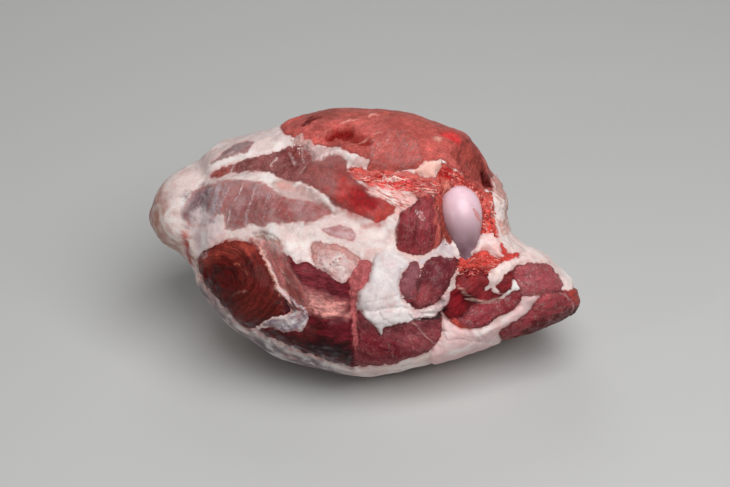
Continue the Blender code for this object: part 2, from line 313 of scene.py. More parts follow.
def restOnTable(points, clearance=0.0):
    # the underside pressed flat, as in the solids
    f = legForm
    height = points[:, 2] - floorLevel
    edge = (height + f["bedRound"]) ** 2 / (4 * f["bedRound"])
    flat = np.where(height < -f["bedRound"], 0, np.where(height < f["bedRound"], edge, height))
    out = points - np.array(f["baseMiddle"])
    out[:, 2] = np.maximum(flat, clearance)
    return out


# the photograph's camera, which also says where on the picture a place of the skin shows

cameraLook = {
    "distance": 1200.0,
    "mmPerPixel": 0.59,
    "pictureWidth": 730,
    "middleX": 365.0,
    "middleY": 243.0,
    "sensor": 36.0,
}
faceMiddle = -np.array(legForm["baseMiddle"])
tip = math.radians(legForm["tipBack"])
lookAlong = np.array([0, math.cos(tip), -math.sin(tip)])
lookUp = np.array([0, math.sin(tip), math.cos(tip)])


def pictureOf(points):
    off = points - faceMiddle
    scale = cameraLook["distance"] / (cameraLook["distance"] + off @ lookAlong) / cameraLook["mmPerPixel"]
    return np.stack((cameraLook["middleX"] + off[:, 0] * scale,
                     cameraLook["middleY"] - (off @ lookUp) * scale), axis=1)


def smoothLoop(points, rounds=3):
    p = np.array(points, float)
    for _ in range(rounds):
        before, after, next2 = np.roll(p, 1, 0), np.roll(p, -1, 0), np.roll(p, -2, 0)
        middle = (-before + 9 * p + 9 * after - next2) / 16
        p = np.stack((p, middle), axis=1).reshape(-1, 2)
    return p


def smoothLine(points, rounds=3):
    p = np.array(points, float)
    for _ in range(rounds):
        if len(p) < 3:
            return p
        ends = np.concatenate(([2 * p[0] - p[1]], p, [2 * p[-1] - p[-2]]))
        middle = (-ends[:-3] + 9 * ends[1:-2] + 9 * ends[2:-1] - ends[3:]) / 16
        grown = np.empty((len(p) * 2 - 1, 2))
        grown[0::2], grown[1::2] = p, middle
        p = grown
    return p


def insideDistance(loop, place, reach=24):
    # millimetres to the loop's edge, above 0 inside it, worked out as far as reach pixels outside it
    low, high = loop.min(0) - reach, loop.max(0) + reach
    near = np.all((place > low) & (place < high), axis=1)
    result = np.full(len(place), -reach * cameraLook["mmPerPixel"])
    q = place[near]
    if len(q) == 0:
        return result
    closed = np.concatenate((loop, loop[:1]))
    edge = np.full(len(q), np.inf)
    inside = np.zeros(len(q), bool)
    for a, b in zip(closed, closed[1:]):
        run = b - a
        t = np.clip((q - a) @ run / max(run @ run, 1e-9), 0, 1)
        edge = np.minimum(edge, np.hypot(*(q - a - t[:, None] * run).T))
        crosses = (a[1] > q[:, 1]) != (b[1] > q[:, 1])
        with np.errstate(divide="ignore", invalid="ignore"):
            at = a[0] + (q[:, 1] - a[1]) * (b[0] - a[0]) / (b[1] - a[1])
        inside ^= crosses & (q[:, 0] < at)
    result[near] = np.where(inside, edge, -edge) * cameraLook["mmPerPixel"]
    return result


def ease(x):
    x = np.clip(x, 0, 1)
    return x * x * (3 - 2 * x)


def noiseAt(points, size, seed=0.0, octaves=1):
    # about -1 to 1, with features of the given size in millimetres
    total, height = np.zeros(len(points)), 1.0
    for octave in range(octaves):
        scale = 2.0**octave / size
        shift = Vector((seed, seed * 1.7 + octave * 11, -seed))
        values = (noise.noise(Vector(p) * scale + shift) for p in points)
        total += height * np.fromiter(values, float, len(points))
        height *= 0.5
    return total * 1.6


def tone(*screen):
    # screen colour to the linear colour that materials use
    return tuple(c / 12.92 / 255 if c < 10.3 else ((c / 255 + 0.055) / 1.055) ** 2.4 for c in screen)


def muscle(tone, **settings):
    return {"kind": "lean", "tone": tone, **settings}


def white(tone, **settings):
    return {"kind": "white", "tone": tone, **settings}


def tint(tone, **settings):
    return {"kind": "tint", "tone": tone, **settings}


# what the face shows. Places are picture places of the photograph's camera, tones are screen colours,
# sizes are millimetres. Each patch lies over the ones before it: white is fat or torn skin, and a tint
# only colours what is there. grain is the way the fibres run in degrees, or swirl the place they
# run round, stripe how strongly they show, fleck the pale curls among them and veil the film over them.
# soft is how far the border fades. swell, level, rise, sink and crease are heights, and rough is the
# height of the torn surface.
facePatches = {
    # the pink topside along the upper edge, and what differs within it
    "topside": muscle((192, 90, 83), swell=1.2, crease=0.5, grain=14, stripe=0.35, fleck=0.15, edge=(
        (285, 133), (281, 124), (290, 108), (312, 98), (340, 92), (378, 92), (416, 98), (458, 110),
        (486, 130), (504, 160), (512, 184), (500, 190), (492, 190), (476, 184), (462, 172), (448, 165),
        (441, 158), (430, 160), (420, 166), (400, 171), (373, 172), (368, 165), (366, 158), (356, 153),
        (346, 149), (336, 146), (321, 145.4), (307, 142), (296, 137))),
    "topsideTop": tint((179, 87, 77), soft=4.0, edge=(
        (300, 118), (330, 104), (400, 100), (452, 116), (462, 126), (430, 126), (400, 121), (340, 119))),
    # painted shade in a narrow slit at the topside's upper left
    "slitPaintedShade": tint((102, 15, 14), soft=0.8, sink=0.9, edge=(
        (299, 127), (306, 121), (321, 116.5), (322, 119), (311, 123.5), (303, 128))),
    "hollow": tint((151, 40, 32), soft=2.2, sink=2.2, edge=(
        (324, 137), (332.3, 130.7), (342, 129.3), (350.5, 130), (358, 136), (368, 139), (369, 146),
        (354, 144), (340, 141))),
    "hollowDeep": tint((139, 23, 21), soft=1.4, edge=(
        (329, 135), (334, 131.5), (343, 130.5), (350, 132), (352, 136), (343, 138), (333, 138.5))),
    "grainyCut": tint((199, 98, 92), soft=2.2, level=0.3, grain=52, stripe=0.45, fleck=1.6, edge=(
        (371, 142), (384.2, 134.5), (398.2, 132.1), (408, 135), (419.3, 146), (422, 155), (416.5, 162),
        (403.8, 168), (386, 168), (371, 166), (368, 157.4), (369, 148))),
    "brownMuscle": tint((151, 66, 59), soft=1.6, level=-0.5, grain=75, stripe=1.0, edge=(
        (455, 146), (461, 141), (470, 140), (477, 150), (485, 168), (489, 182), (480, 182), (468.4, 175),
        (457.1, 164), (451.5, 154))),
    "redNick": tint((225, 62, 63), soft=1.2, sink=0.8, edge=(
        (441, 135), (446, 133), (453, 134.5), (459, 139), (460, 144), (454, 143), (447, 138.5))),
    "paleSpot": tint((192, 127, 115), soft=1.0, rise=0.6, edge=(
        (433, 138), (437, 136.5), (442, 138.5), (440, 141), (434, 141))),
    # painted shade in a small hole at the topside's right end
    "holePaintedShade": tint((84, 12, 13), soft=1.2, sink=2.0, edge=(
        (480, 170), (484, 170), (489, 177), (491, 186), (487, 187), (482, 178))),
    # the smaller muscles of the upper left, seen through thin white skin
    "windowMuscle": muscle((116, 68, 66), swell=0.8, crease=0.5, grain=26, stripe=0.3, veil=0.3,
        soft=1.6, edge=(
        (212, 163.5), (218, 158.5), (224.2, 151.7), (235.4, 145.4), (246.6, 141.6), (253.4, 141.8),
        (251, 146.5), (243.8, 151.9), (232.6, 155.6), (221.4, 160))),
    "stripMuscle": muscle((141, 78, 76), swell=1.0, crease=0.6, grain=66, stripe=0.7, fleck=0.5,
        soft=1.2, edge=(
        (210.2, 174.9), (215.8, 170), (224.2, 166.5), (238.2, 162.3), (246.6, 157.3), (259.3, 154.3),
        (274.7, 151.7), (285.9, 146.5), (297.1, 144.4), (305.6, 146.1), (310, 152), (314, 156),
        (306, 165), (299, 174.2), (291.5, 179.8), (280.3, 178.4), (273.3, 174.2), (263.5, 169.7),
        (246.6, 170.7), (229.8, 173.1), (218.6, 175.6))),
    "stripTip": tint((168, 81, 74), soft=2.0, edge=(
        (209, 175.5), (216, 169), (226, 165), (232, 165), (229, 172), (217, 177))),
    "stripDark": tint((130, 60, 57), soft=2.0, edge=(
        (283, 152), (298, 146), (304, 150), (300, 160), (292, 168), (285, 168))),
    "flankMuscle": muscle((142, 64, 59), swell=0.2, crease=0.5, grain=-38, stripe=0.35, veil=0.08,
        soft=1.1, edge=(
        (314, 156), (321, 153), (335, 153.1), (344, 156), (348, 161), (347, 167), (350.5, 174.2),
        (361.7, 184), (373, 190), (384.2, 198), (395.4, 206.5), (395, 212.1), (385, 217), (378, 222.6),
        (366, 217.7), (349.1, 210.7), (339.3, 206.5), (335, 205), (326.6, 196.6), (315.4, 188.2),
        (301.4, 181.2), (293, 179.8), (298.6, 174.2), (306, 164))),
    "flankRed": tint((176, 38, 32), soft=6.0, veil=0.05, edge=(
        (330, 196), (346, 180), (362, 186), (384, 198), (397, 207), (394, 213), (378, 224), (352, 212))),
    "flankTip": tint((186, 52, 42), soft=2.0, veil=0.03, edge=(
        (374, 214), (390, 204), (397, 207), (394, 213), (380, 222), (374, 222))),
    "bloodSpot": tint((146, 0, 10), soft=3.0, sink=0.8, veil=0.0, edge=(
        (350, 195), (357, 187), (366, 187), (374, 194), (376, 204), (368, 210), (356, 207))),
    # the muscle under the white skin at the left, streaked by it
    "shinMuscle": muscle((150, 76, 71), swell=1.0, crease=0.0, grain=66, stripe=0.35, veil=0.2,
        soft=3.0, edge=(
        (189.1, 200), (196.1, 191), (207.3, 185.4), (221.4, 181.2), (235.4, 179), (252.2, 180.5),
        (266.3, 184.5), (276, 192), (288.7, 198), (308.4, 200.8), (324, 205), (333, 210.7), (322, 216.3),
        (308.4, 221.5), (296, 220), (284, 223.3), (272, 221), (262.1, 224.7), (252, 221), (246, 227),
        (232, 229.5), (225.6, 227.5), (223, 214), (214, 216), (208, 224), (199, 226), (190, 223.3),
        (187, 210))),
    "shinLeft": tint((95, 59, 66), soft=3.4, stripe=0.2, veil=0.26, edge=(
        (186, 198), (197, 189), (212, 188), (213, 200), (207, 218), (199, 227), (187, 224))),
    "shinRed": tint((136, 42, 36), soft=4.0, edge=(
        (252, 186), (266, 188), (284, 200), (310, 203), (328, 210), (308, 219), (262, 220), (232, 224),
        (240, 206))),
    # the dark round cut at the lower left
    "disc": muscle((96, 27, 23), swell=0.8, crease=0.6, swirl=(222, 281.6), stripe=1.15, edge=(
        (196.5, 259), (201.6, 252.3), (213.3, 246), (228, 241), (245.6, 240), (255, 243), (262, 254),
        (269, 268), (276, 285), (281.5, 296), (288, 307), (288, 314), (274, 317.5), (262, 322.5),
        (252, 328.6), (243, 327), (234, 319), (222, 304), (210, 291), (200, 276))),
    "discTop": tint((148, 60, 50), soft=3.5, edge=(
        (198, 262), (204, 251), (228, 241), (248, 240), (258, 254), (246, 256), (222, 254), (206, 266))),
    "discMiddle": tint((93, 20, 17), soft=4.5, sink=1.2, edge=(
        (204, 272), (214, 266), (228, 266), (238, 274), (236, 284), (220, 286), (207, 282))),
    "discLow": tint((92, 29, 24), soft=4.5, edge=(
        (222, 296), (240, 288), (262, 292), (278, 306), (262, 318), (248, 322), (234, 312))),
    # the smooth muscle beside the disc, and the dark belly to its right
    "belly": muscle((108, 27, 36), swell=0.9, crease=0.6, grain=-9, stripe=1.1, edge=(
        (284, 255), (296, 262), (306, 262), (323.4, 270), (341, 280), (349, 277), (357, 283), (356, 300),
        (356, 320), (357, 345), (357, 366), (330.7, 360.5), (308.7, 353.5), (291.1, 347.2), (272, 337),
        (258, 331), (270, 327), (283.8, 326), (298.4, 326), (304, 316), (290, 300))),
    # a painted highlight: a bright salmon stripe across the belly
    "bellyPaintedHighlight": tint((222, 150, 142), soft=5.0, level=0.6, edge=(
        (284, 284), (298, 285), (320, 293), (340, 301), (350, 311), (338, 317), (318, 312), (302, 308),
        (290, 300))),
    # painted shade along the belly's lower edge
    "bellyPaintedShade": tint((38, 6, 9), soft=4.5, edge=(
        (276, 338), (292, 332), (312, 334), (334, 340), (350, 344), (352, 361), (330, 358), (306, 351))),
    "bellyPurple": tint((127, 47, 55), soft=4.0, edge=(
        (292, 268), (306, 266), (326, 276), (346, 290), (346, 299), (322, 292), (300, 284))),
    "bellyLowLeft": tint((87, 28, 27), soft=3.0, edge=(
        (262, 330), (284, 331), (306, 330), (314, 320), (322, 330), (306, 340), (284, 340))),
    "capMuscle": muscle((163, 71, 65), swell=1.4, crease=0.5, grain=-58, stripe=0.7, veil=0.12,
        soft=2.0, edge=(
        (248, 240), (256, 237.5), (266, 238), (277.9, 244.9), (285.2, 253), (289, 262.5), (297, 277),
        (304, 288), (310, 299), (306, 306), (298, 302), (288, 294), (279, 284), (270, 264), (260, 247))),
    "capPale": tint((204, 118, 108), soft=2.6, veil=0.3, edge=(
        (252, 240), (262, 236), (277, 241), (284, 250), (276, 254), (266, 248))),
    # painted shade in a small hollow, over its purple
    "purpleHollowPaintedShade": tint((66, 28, 36), soft=1.2, sink=2.6, edge=(
        (282.5, 298), (289, 302), (297, 309.5), (295.5, 313.9), (288, 315.3))),
    # the long muscle under the fat plate
    "rumpFront": muscle((134, 59, 65), swell=1.5, crease=0.9, grain=-24, stripe=0.7, fleck=0.5, edge=(
        (355.8, 312), (376, 310), (400, 306), (422, 312), (440.2, 312), (443, 322), (443, 332),
        (440.2, 340), (434, 349.2), (412.7, 357.8), (386.8, 364.7), (356, 365), (355.5, 340))),
    "rumpLow": tint((117, 33, 42), soft=4.0, edge=(
        (358, 336), (372, 332), (392, 340), (408, 352), (388, 362), (360, 362))),
    "redStrip": muscle((184, 96, 97), swell=0.6, crease=0.5, grain=70, stripe=0.3, rough=0.5, edge=(
        (358.4, 260.5), (369.6, 260), (372, 269.9), (368, 283), (360, 293), (357.5, 304.4), (357, 345),
        (353, 345), (351, 310), (350, 292), (348, 280), (352, 268))),
    # the round muscles beside the ball
    "upperEye": muscle((140, 52, 58), swell=0.7, crease=0.7, grain=80, stripe=0.9, fleck=0.5, edge=(
        (398.2, 217), (402, 210), (411, 204), (415, 196), (424, 191), (434, 196), (437, 207),
        (440.3, 222), (444.5, 232), (441, 242.4), (431, 251.9), (417.8, 255), (404, 251.9), (396.6, 244),
        (395.8, 230))),
    "upperEyeRim": tint((197, 92, 83), soft=1.2, edge=(
        (435, 200), (439, 212), (442, 224), (446, 231), (442, 240), (433, 249), (436, 240), (437, 228),
        (434, 214))),
    "smallMuscle": muscle((132, 75, 82), swell=0.7, crease=0.6, grain=84, stripe=0.15, edge=(
        (403, 272), (408, 265), (414.4, 260), (418.7, 264.8), (420, 276.8), (417, 289), (411, 297),
        (403.5, 297), (399.8, 288.9), (400.6, 280))),
    "lowerEye": muscle((120, 45, 53), swell=0.7, crease=0.7, grain=66, stripe=0.9, fleck=0.8, edge=(
        (420.5, 274), (424, 264), (429, 258), (436.8, 254.5), (446, 257), (456, 257), (458.5, 262),
        (454.5, 273), (449.5, 284), (442, 296.5), (430, 305), (416.1, 308), (405.8, 301.5), (401, 297),
        (411, 297.5), (417.5, 289))),
    "lowerEyeRed": tint((151, 65, 70), soft=3.0, edge=(
        (412, 298), (424, 284), (436, 286), (444, 288), (436, 300), (420, 306))),
    # right of the ball
    "ballSide": muscle((150, 66, 58), sink=3.4, rough=0.8, stripe=0.6, grain=80, edge=(
        (434, 188), (441, 184), (450, 190), (450, 206), (450, 224), (452, 240), (446, 246), (441, 238),
        (441, 226), (438, 212), (434, 200))),
    "hipTissue": muscle((206, 93, 83), swell=0.5, crease=0.3, grain=52, stripe=0.7, rough=1.3, edge=(
        (441, 160), (448, 166), (462, 173), (478, 184), (490, 192), (494, 205), (496, 226), (499, 238),
        (486, 236), (478, 232), (474, 226), (470, 214), (462, 202), (452, 194), (443, 190), (437, 178),
        (438, 168))),
    "hipTissuePale": tint((212, 124, 109), soft=2.5, edge=(
        (442, 182), (452, 182), (466, 190), (478, 204), (484, 226), (474, 222), (462, 206), (448, 194))),
    "hipTissueDark": tint((173, 32, 31), soft=1.6, sink=1.0, edge=(
        (438, 170), (446, 167), (460, 174), (474, 186), (470, 189), (456, 180), (444, 178))),
    "hipRedLow": tint((225, 76, 64), soft=2.0, edge=(
        (478, 214), (488, 210), (494, 224), (497, 237), (486, 234), (479, 228))),
    "redBand": muscle((221, 76, 69), swell=0.2, crease=0.6, rough=0.9, edge=(
        (496, 242), (500, 240), (506, 249), (512, 252), (520, 252), (514, 259), (504, 264), (498, 260),
        (502, 253))),
    "raggedRed": muscle((216, 79, 70), swell=0.8, crease=0.6, rough=1.6, grain=20, stripe=0.3, edge=(
        (458, 262), (464, 256), (474, 254), (484, 249), (492, 253), (498, 256), (506, 252), (512, 254),
        (503, 262), (494, 267), (490, 276), (480, 276), (462, 276))),
    "pocket": muscle((129, 39, 43), swell=0.6, crease=0.6, grain=40, stripe=0.9, edge=(
        (457, 276), (466, 270), (480, 270), (490, 270), (490.5, 282), (484, 292), (496, 286), (508, 272),
        (516, 264), (522, 263), (520, 270), (516, 278), (522, 286), (522, 294), (516, 292.3),
        (502, 299.2), (483.3, 302.7), (472.9, 306.1), (463, 316.4), (456, 322), (448, 318), (444, 309.5),
        (450, 294), (456, 284))),
    # painted shade where the pocket is deepest, over its dark red
    "pocketPaintedShade": tint((83, 15, 20), soft=2.2, sink=3.2, edge=(
        (458, 292), (464, 290), (474, 297), (480, 302), (470, 306), (464, 304))),
    "pocketRed": tint((139, 29, 37), soft=2.0, edge=(
        (446, 292), (452, 286), (458, 290), (466, 304), (462, 316), (448, 318), (444, 309))),
    "chumpEye": muscle((169, 79, 85), swell=0.8, crease=0.6, swirl=(540, 274), stripe=0.7, fleck=1.6, edge=(
        (512, 270), (518, 264.5), (533.2, 261), (544, 261), (553, 266), (560.8, 276), (563, 284),
        (561, 289.5), (548.7, 293), (536.6, 297), (524, 297), (521, 287), (516, 278))),
    "chumpInner": muscle((144, 49, 58), swell=1.2, crease=0.8, grain=24, stripe=0.6, fleck=1.3, edge=(
        (452, 318), (462.6, 316), (472.9, 305), (483.3, 301.5), (502.2, 298), (514, 290.5), (522.9, 292),
        (522, 301), (512.5, 312), (496, 319), (482, 327.5), (471.2, 330), (459, 327), (450, 322))),
    "chumpOrange": tint((222, 85, 71), soft=1.2, edge=(
        (448, 320), (456, 318), (463, 325), (470, 330), (458, 328))),
    "chumpTail": muscle((159, 62, 69), swell=1.2, crease=0.8, grain=34, stripe=0.8, fleck=1.1,
        rough=0.4, edge=(
        (501, 338), (499, 333), (512.5, 323.3), (524, 314), (534, 302), (542, 294.5), (559, 290.5),
        (571, 286), (584, 294), (582, 310), (562, 322), (538, 332), (517, 342), (504, 346))),
    "chumpTip": tint((172, 64, 55), soft=1.4, edge=(
        (567, 290), (573, 286), (582, 294), (578, 304), (571, 300))),
    "chumpTailLow": tint((93, 24, 28), soft=3.0, edge=(
        (504, 342), (524, 328), (550, 314), (580, 304), (582, 316), (540, 334), (508, 348))),
    # whites over the lean: fat, gristle and torn skin
    "silverFlap": white((131, 115, 123), level=0.5, rough=0.5, crease=0.3, edge=(
        (261.8, 324.2), (272, 319.7), (283.8, 316.8), (290, 314), (298.4, 309.5), (305.8, 310.9),
        (309, 319.7), (304.3, 328.6), (295.5, 330.5), (280.8, 330.5), (272, 326.6))),
    "fatPlate": white((224, 210, 210), level=1.8, swell=1.2, crease=0.5, rough=0.1, edge=(
        (371.5, 262), (371, 272), (364, 286), (357.6, 294), (359, 306), (364, 316), (370, 321),
        (376, 327), (381.7, 333.5), (384, 327), (390, 325), (396, 322), (406, 321), (413, 319.5),
        (421.3, 319), (414, 312), (409.2, 307.8), (402.3, 298), (399.6, 288), (400.6, 278), (406, 268),
        (411, 261), (404, 256), (396, 252), (388, 250), (378, 252))),
    "whiteCrescent": white((217, 184, 184), level=1.4, swell=0.8, crease=0.4, edge=(
        (402, 300), (411, 305), (418, 308.5), (431, 305.5), (442, 297), (449, 289), (451, 294),
        (446, 305), (438, 313.5), (428, 317), (414, 316.5), (407, 309))),
    # painted shade: a near-black line in the crevice under the white crescent
    "crevicePaintedShade": tint((52, 30, 32), soft=0.7, sink=2.2, edge=(
        (413, 317), (428, 317.6), (437, 314.5), (446, 308), (447, 311), (438, 317), (428, 320), (414, 319))),
    "whiteCurl": white((249, 199, 185), level=2.4, swell=1.4, crease=0.6, rough=0.4, edge=(
        (414.5, 170), (422, 163), (427, 160), (436, 160), (440, 163), (439.6, 168), (437, 173),
        (437, 179), (431, 179), (427, 176.5), (421, 175), (414, 173.5))),
    "flankRidge": white((209, 175, 171), level=1.0, swell=0.8, crease=0.3, rough=0.3, soft=0.9, edge=(
        (306, 143), (318, 147), (334, 147.5), (346, 150.5), (358, 156), (369, 160), (369, 165),
        (360, 167), (353, 165), (347, 159), (338, 155), (328, 155), (319, 160), (312, 160), (312, 152),
        (303, 149))),
    "raggedTissue": muscle((226, 84, 71), level=0.6, rough=1.4, grain=8, stripe=0.4, veil=0.12, edge=(
        (350, 167), (360, 167), (370, 170), (386, 170), (402, 172), (416, 174), (425, 178), (436, 179),
        (441, 186), (441, 196), (430, 193), (420, 196), (412, 192), (398, 188), (386, 186), (370, 184),
        (360, 181), (352, 174))),
    "raggedBright": tint((250, 60, 56), soft=1.6, edge=(
        (380, 184), (396, 180), (404, 178), (414, 181), (412, 187), (398, 189), (384, 189))),
    "raggedWhite": white((248, 203, 189), level=0.9, rough=0.9, crease=0.3, edge=(
        (381, 178), (390, 176), (399, 177.5), (401, 180), (392, 182), (384, 182))),
    "raggedBrown": tint((179, 58, 47), soft=2.0, edge=(
        (414, 178), (428, 180), (441, 184), (442, 198), (430, 194), (418, 196), (412, 190))),
    "underTissue": white((239, 184, 177), level=0.7, rough=0.7, crease=0.2, edge=(
        (366, 190), (376, 189), (388, 190), (400, 192), (412, 196), (418, 199), (411, 205), (402, 211),
        (396, 220), (394, 212), (396, 207), (386, 200), (375, 194))),
    "membraneBand": white((199, 168, 163), level=0.6, swell=0.3, rough=0.4, soft=1.6, edge=(
        (272, 181), (284, 179.5), (300, 182), (314, 189), (325, 196), (336, 206), (336, 214),
        (322, 204.5), (308.4, 201.5), (288.7, 198.5), (276, 191))),
    "salmonSpot": tint((214, 162, 153), soft=1.6, edge=(
        (279, 184), (284, 182), (291, 184), (294, 188), (287, 189), (280, 188))),
    "pinkWindow": muscle((166, 88, 89), rough=0.3, veil=0.36, soft=1.4, stripe=0.1, edge=(
        (322, 229), (330, 226), (340, 225), (350, 228), (356, 234), (352, 240), (340, 238), (328, 233))),
    "raggedPink": muscle((189, 125, 116), level=0.4, rough=0.6, veil=0.15, soft=0.5, edge=(
        (311, 243), (318, 241), (331, 243), (345, 248), (355, 254), (360, 259), (352, 262), (346, 257),
        (338, 262), (330, 270), (318, 268), (312, 258))),
    "pinkLumps": white((207, 166, 162), level=0.8, rough=0.6, soft=0.4, edge=(
        (318, 252), (324, 247), (331, 250), (340, 252), (350, 259), (358, 262), (352, 272), (344, 282),
        (336, 280), (326, 272), (316, 266))),
    "whiteLumps": white((195, 157, 150), level=1.0, rough=0.8, crease=0.2, edge=(
        (293, 141), (297, 135), (302, 134), (304, 139), (311, 141), (312, 148), (308, 151), (303, 146),
        (296, 144))),
    "eyeGristle": white((217, 201, 203), level=0.8, swell=0.5, rough=0.2, edge=(
        (432, 250), (441, 243), (447, 236), (452, 246), (454, 256), (449, 259), (440, 255), (434, 254),
        (427, 258), (421, 264), (418, 258))),
    "fatLobe": white((240, 194, 189), level=1.8, swell=1.2, crease=0.4, rough=0.4, edge=(
        (478, 236), (484, 232), (492, 235), (499, 240), (501, 248), (504, 256), (498, 256), (490, 250),
        (482, 250), (474, 254), (470, 252))),
    "rightRim": white((202, 153, 143), level=0.8, swell=0.6, rough=0.6, edge=(
        (491, 178), (498, 176), (512, 190), (514, 222), (504, 236), (499, 230), (497, 214), (494, 196))),
    "chumpBand": white((242, 215, 209), level=0.8, swell=0.8, crease=0.4, edge=(
        (488.4, 279), (490.5, 270), (497, 265), (512, 258), (524, 254), (530, 246), (552, 256),
        (548, 262), (536, 261.5), (520, 263), (510, 270), (500, 278), (496, 286), (501, 293), (494, 292))),
    "chumpKnot": white((249, 243, 243), level=0.6, rough=0.5, edge=(
        (510, 288), (511, 281), (515, 279), (519, 283), (522, 289), (514, 291), (506, 297), (498, 300),
        (503, 294))),
    "seamFat": white((233, 196, 195), level=0.9, swell=0.8, crease=0.4, edge=(
        (441.5, 318), (446, 320), (452, 326), (462, 330), (473, 331), (488, 325), (504, 318.5),
        (516, 308), (524, 299), (530, 296.5), (541, 293.5), (534, 303), (524.6, 315), (512, 323),
        (500, 332), (501, 340), (488, 350), (440, 366), (430, 354), (440.2, 341), (443.5, 332))),
    "tipWhite": white((247, 224, 219), level=0.5, rough=0.4, edge=(
        (560, 276), (566, 275), (573, 283), (573, 288), (566, 290), (561, 290), (563, 284))),
    # tones of the fat, with painted shade under the knob and along the lower left rim
    "knobTan": tint((192, 136, 118), soft=7.0, edge=(
        (144, 200), (152, 190), (160, 192), (166, 206), (170, 222), (172, 238), (162, 240), (148, 232))),
    # painted shade along the knob's lower edge
    "knobPaintedShade": tint((176, 138, 126), soft=6.0, edge=(
        (150, 226), (160, 236), (176, 246), (188, 258), (190, 266), (172, 256), (150, 240))),
    "greySkin": tint((220, 200, 199), soft=3.0, edge=(
        (196, 214), (210, 210), (220, 222), (222, 236), (208, 246), (198, 256), (194, 240))),
    "bandGrey": tint((190, 151, 139), soft=2.0, edge=(
        (252, 234), (264, 232), (278, 238), (281, 246), (270, 240), (256, 238))),
    # painted shade along the lower left rim, over the grey of the silver skin there
    "rimPaintedShade": tint((122, 109, 113), soft=6.0, edge=(
        (200, 282), (214, 298), (236, 322), (250, 330), (262, 333), (285, 346), (312, 356), (340, 362),
        (344, 386), (280, 372), (220, 332), (196, 290))),
    "pinkRed": tint((202, 120, 112), soft=1.2, rise=1.2, edge=(
        (183, 231), (187, 229.5), (191, 232), (191, 237), (187, 239), (183, 236))),
    "knobStreak": tint((165, 76, 69), soft=0.9, edge=(
        (185, 240), (188, 240), (191, 252), (193, 263), (190, 262), (187, 252))),
}

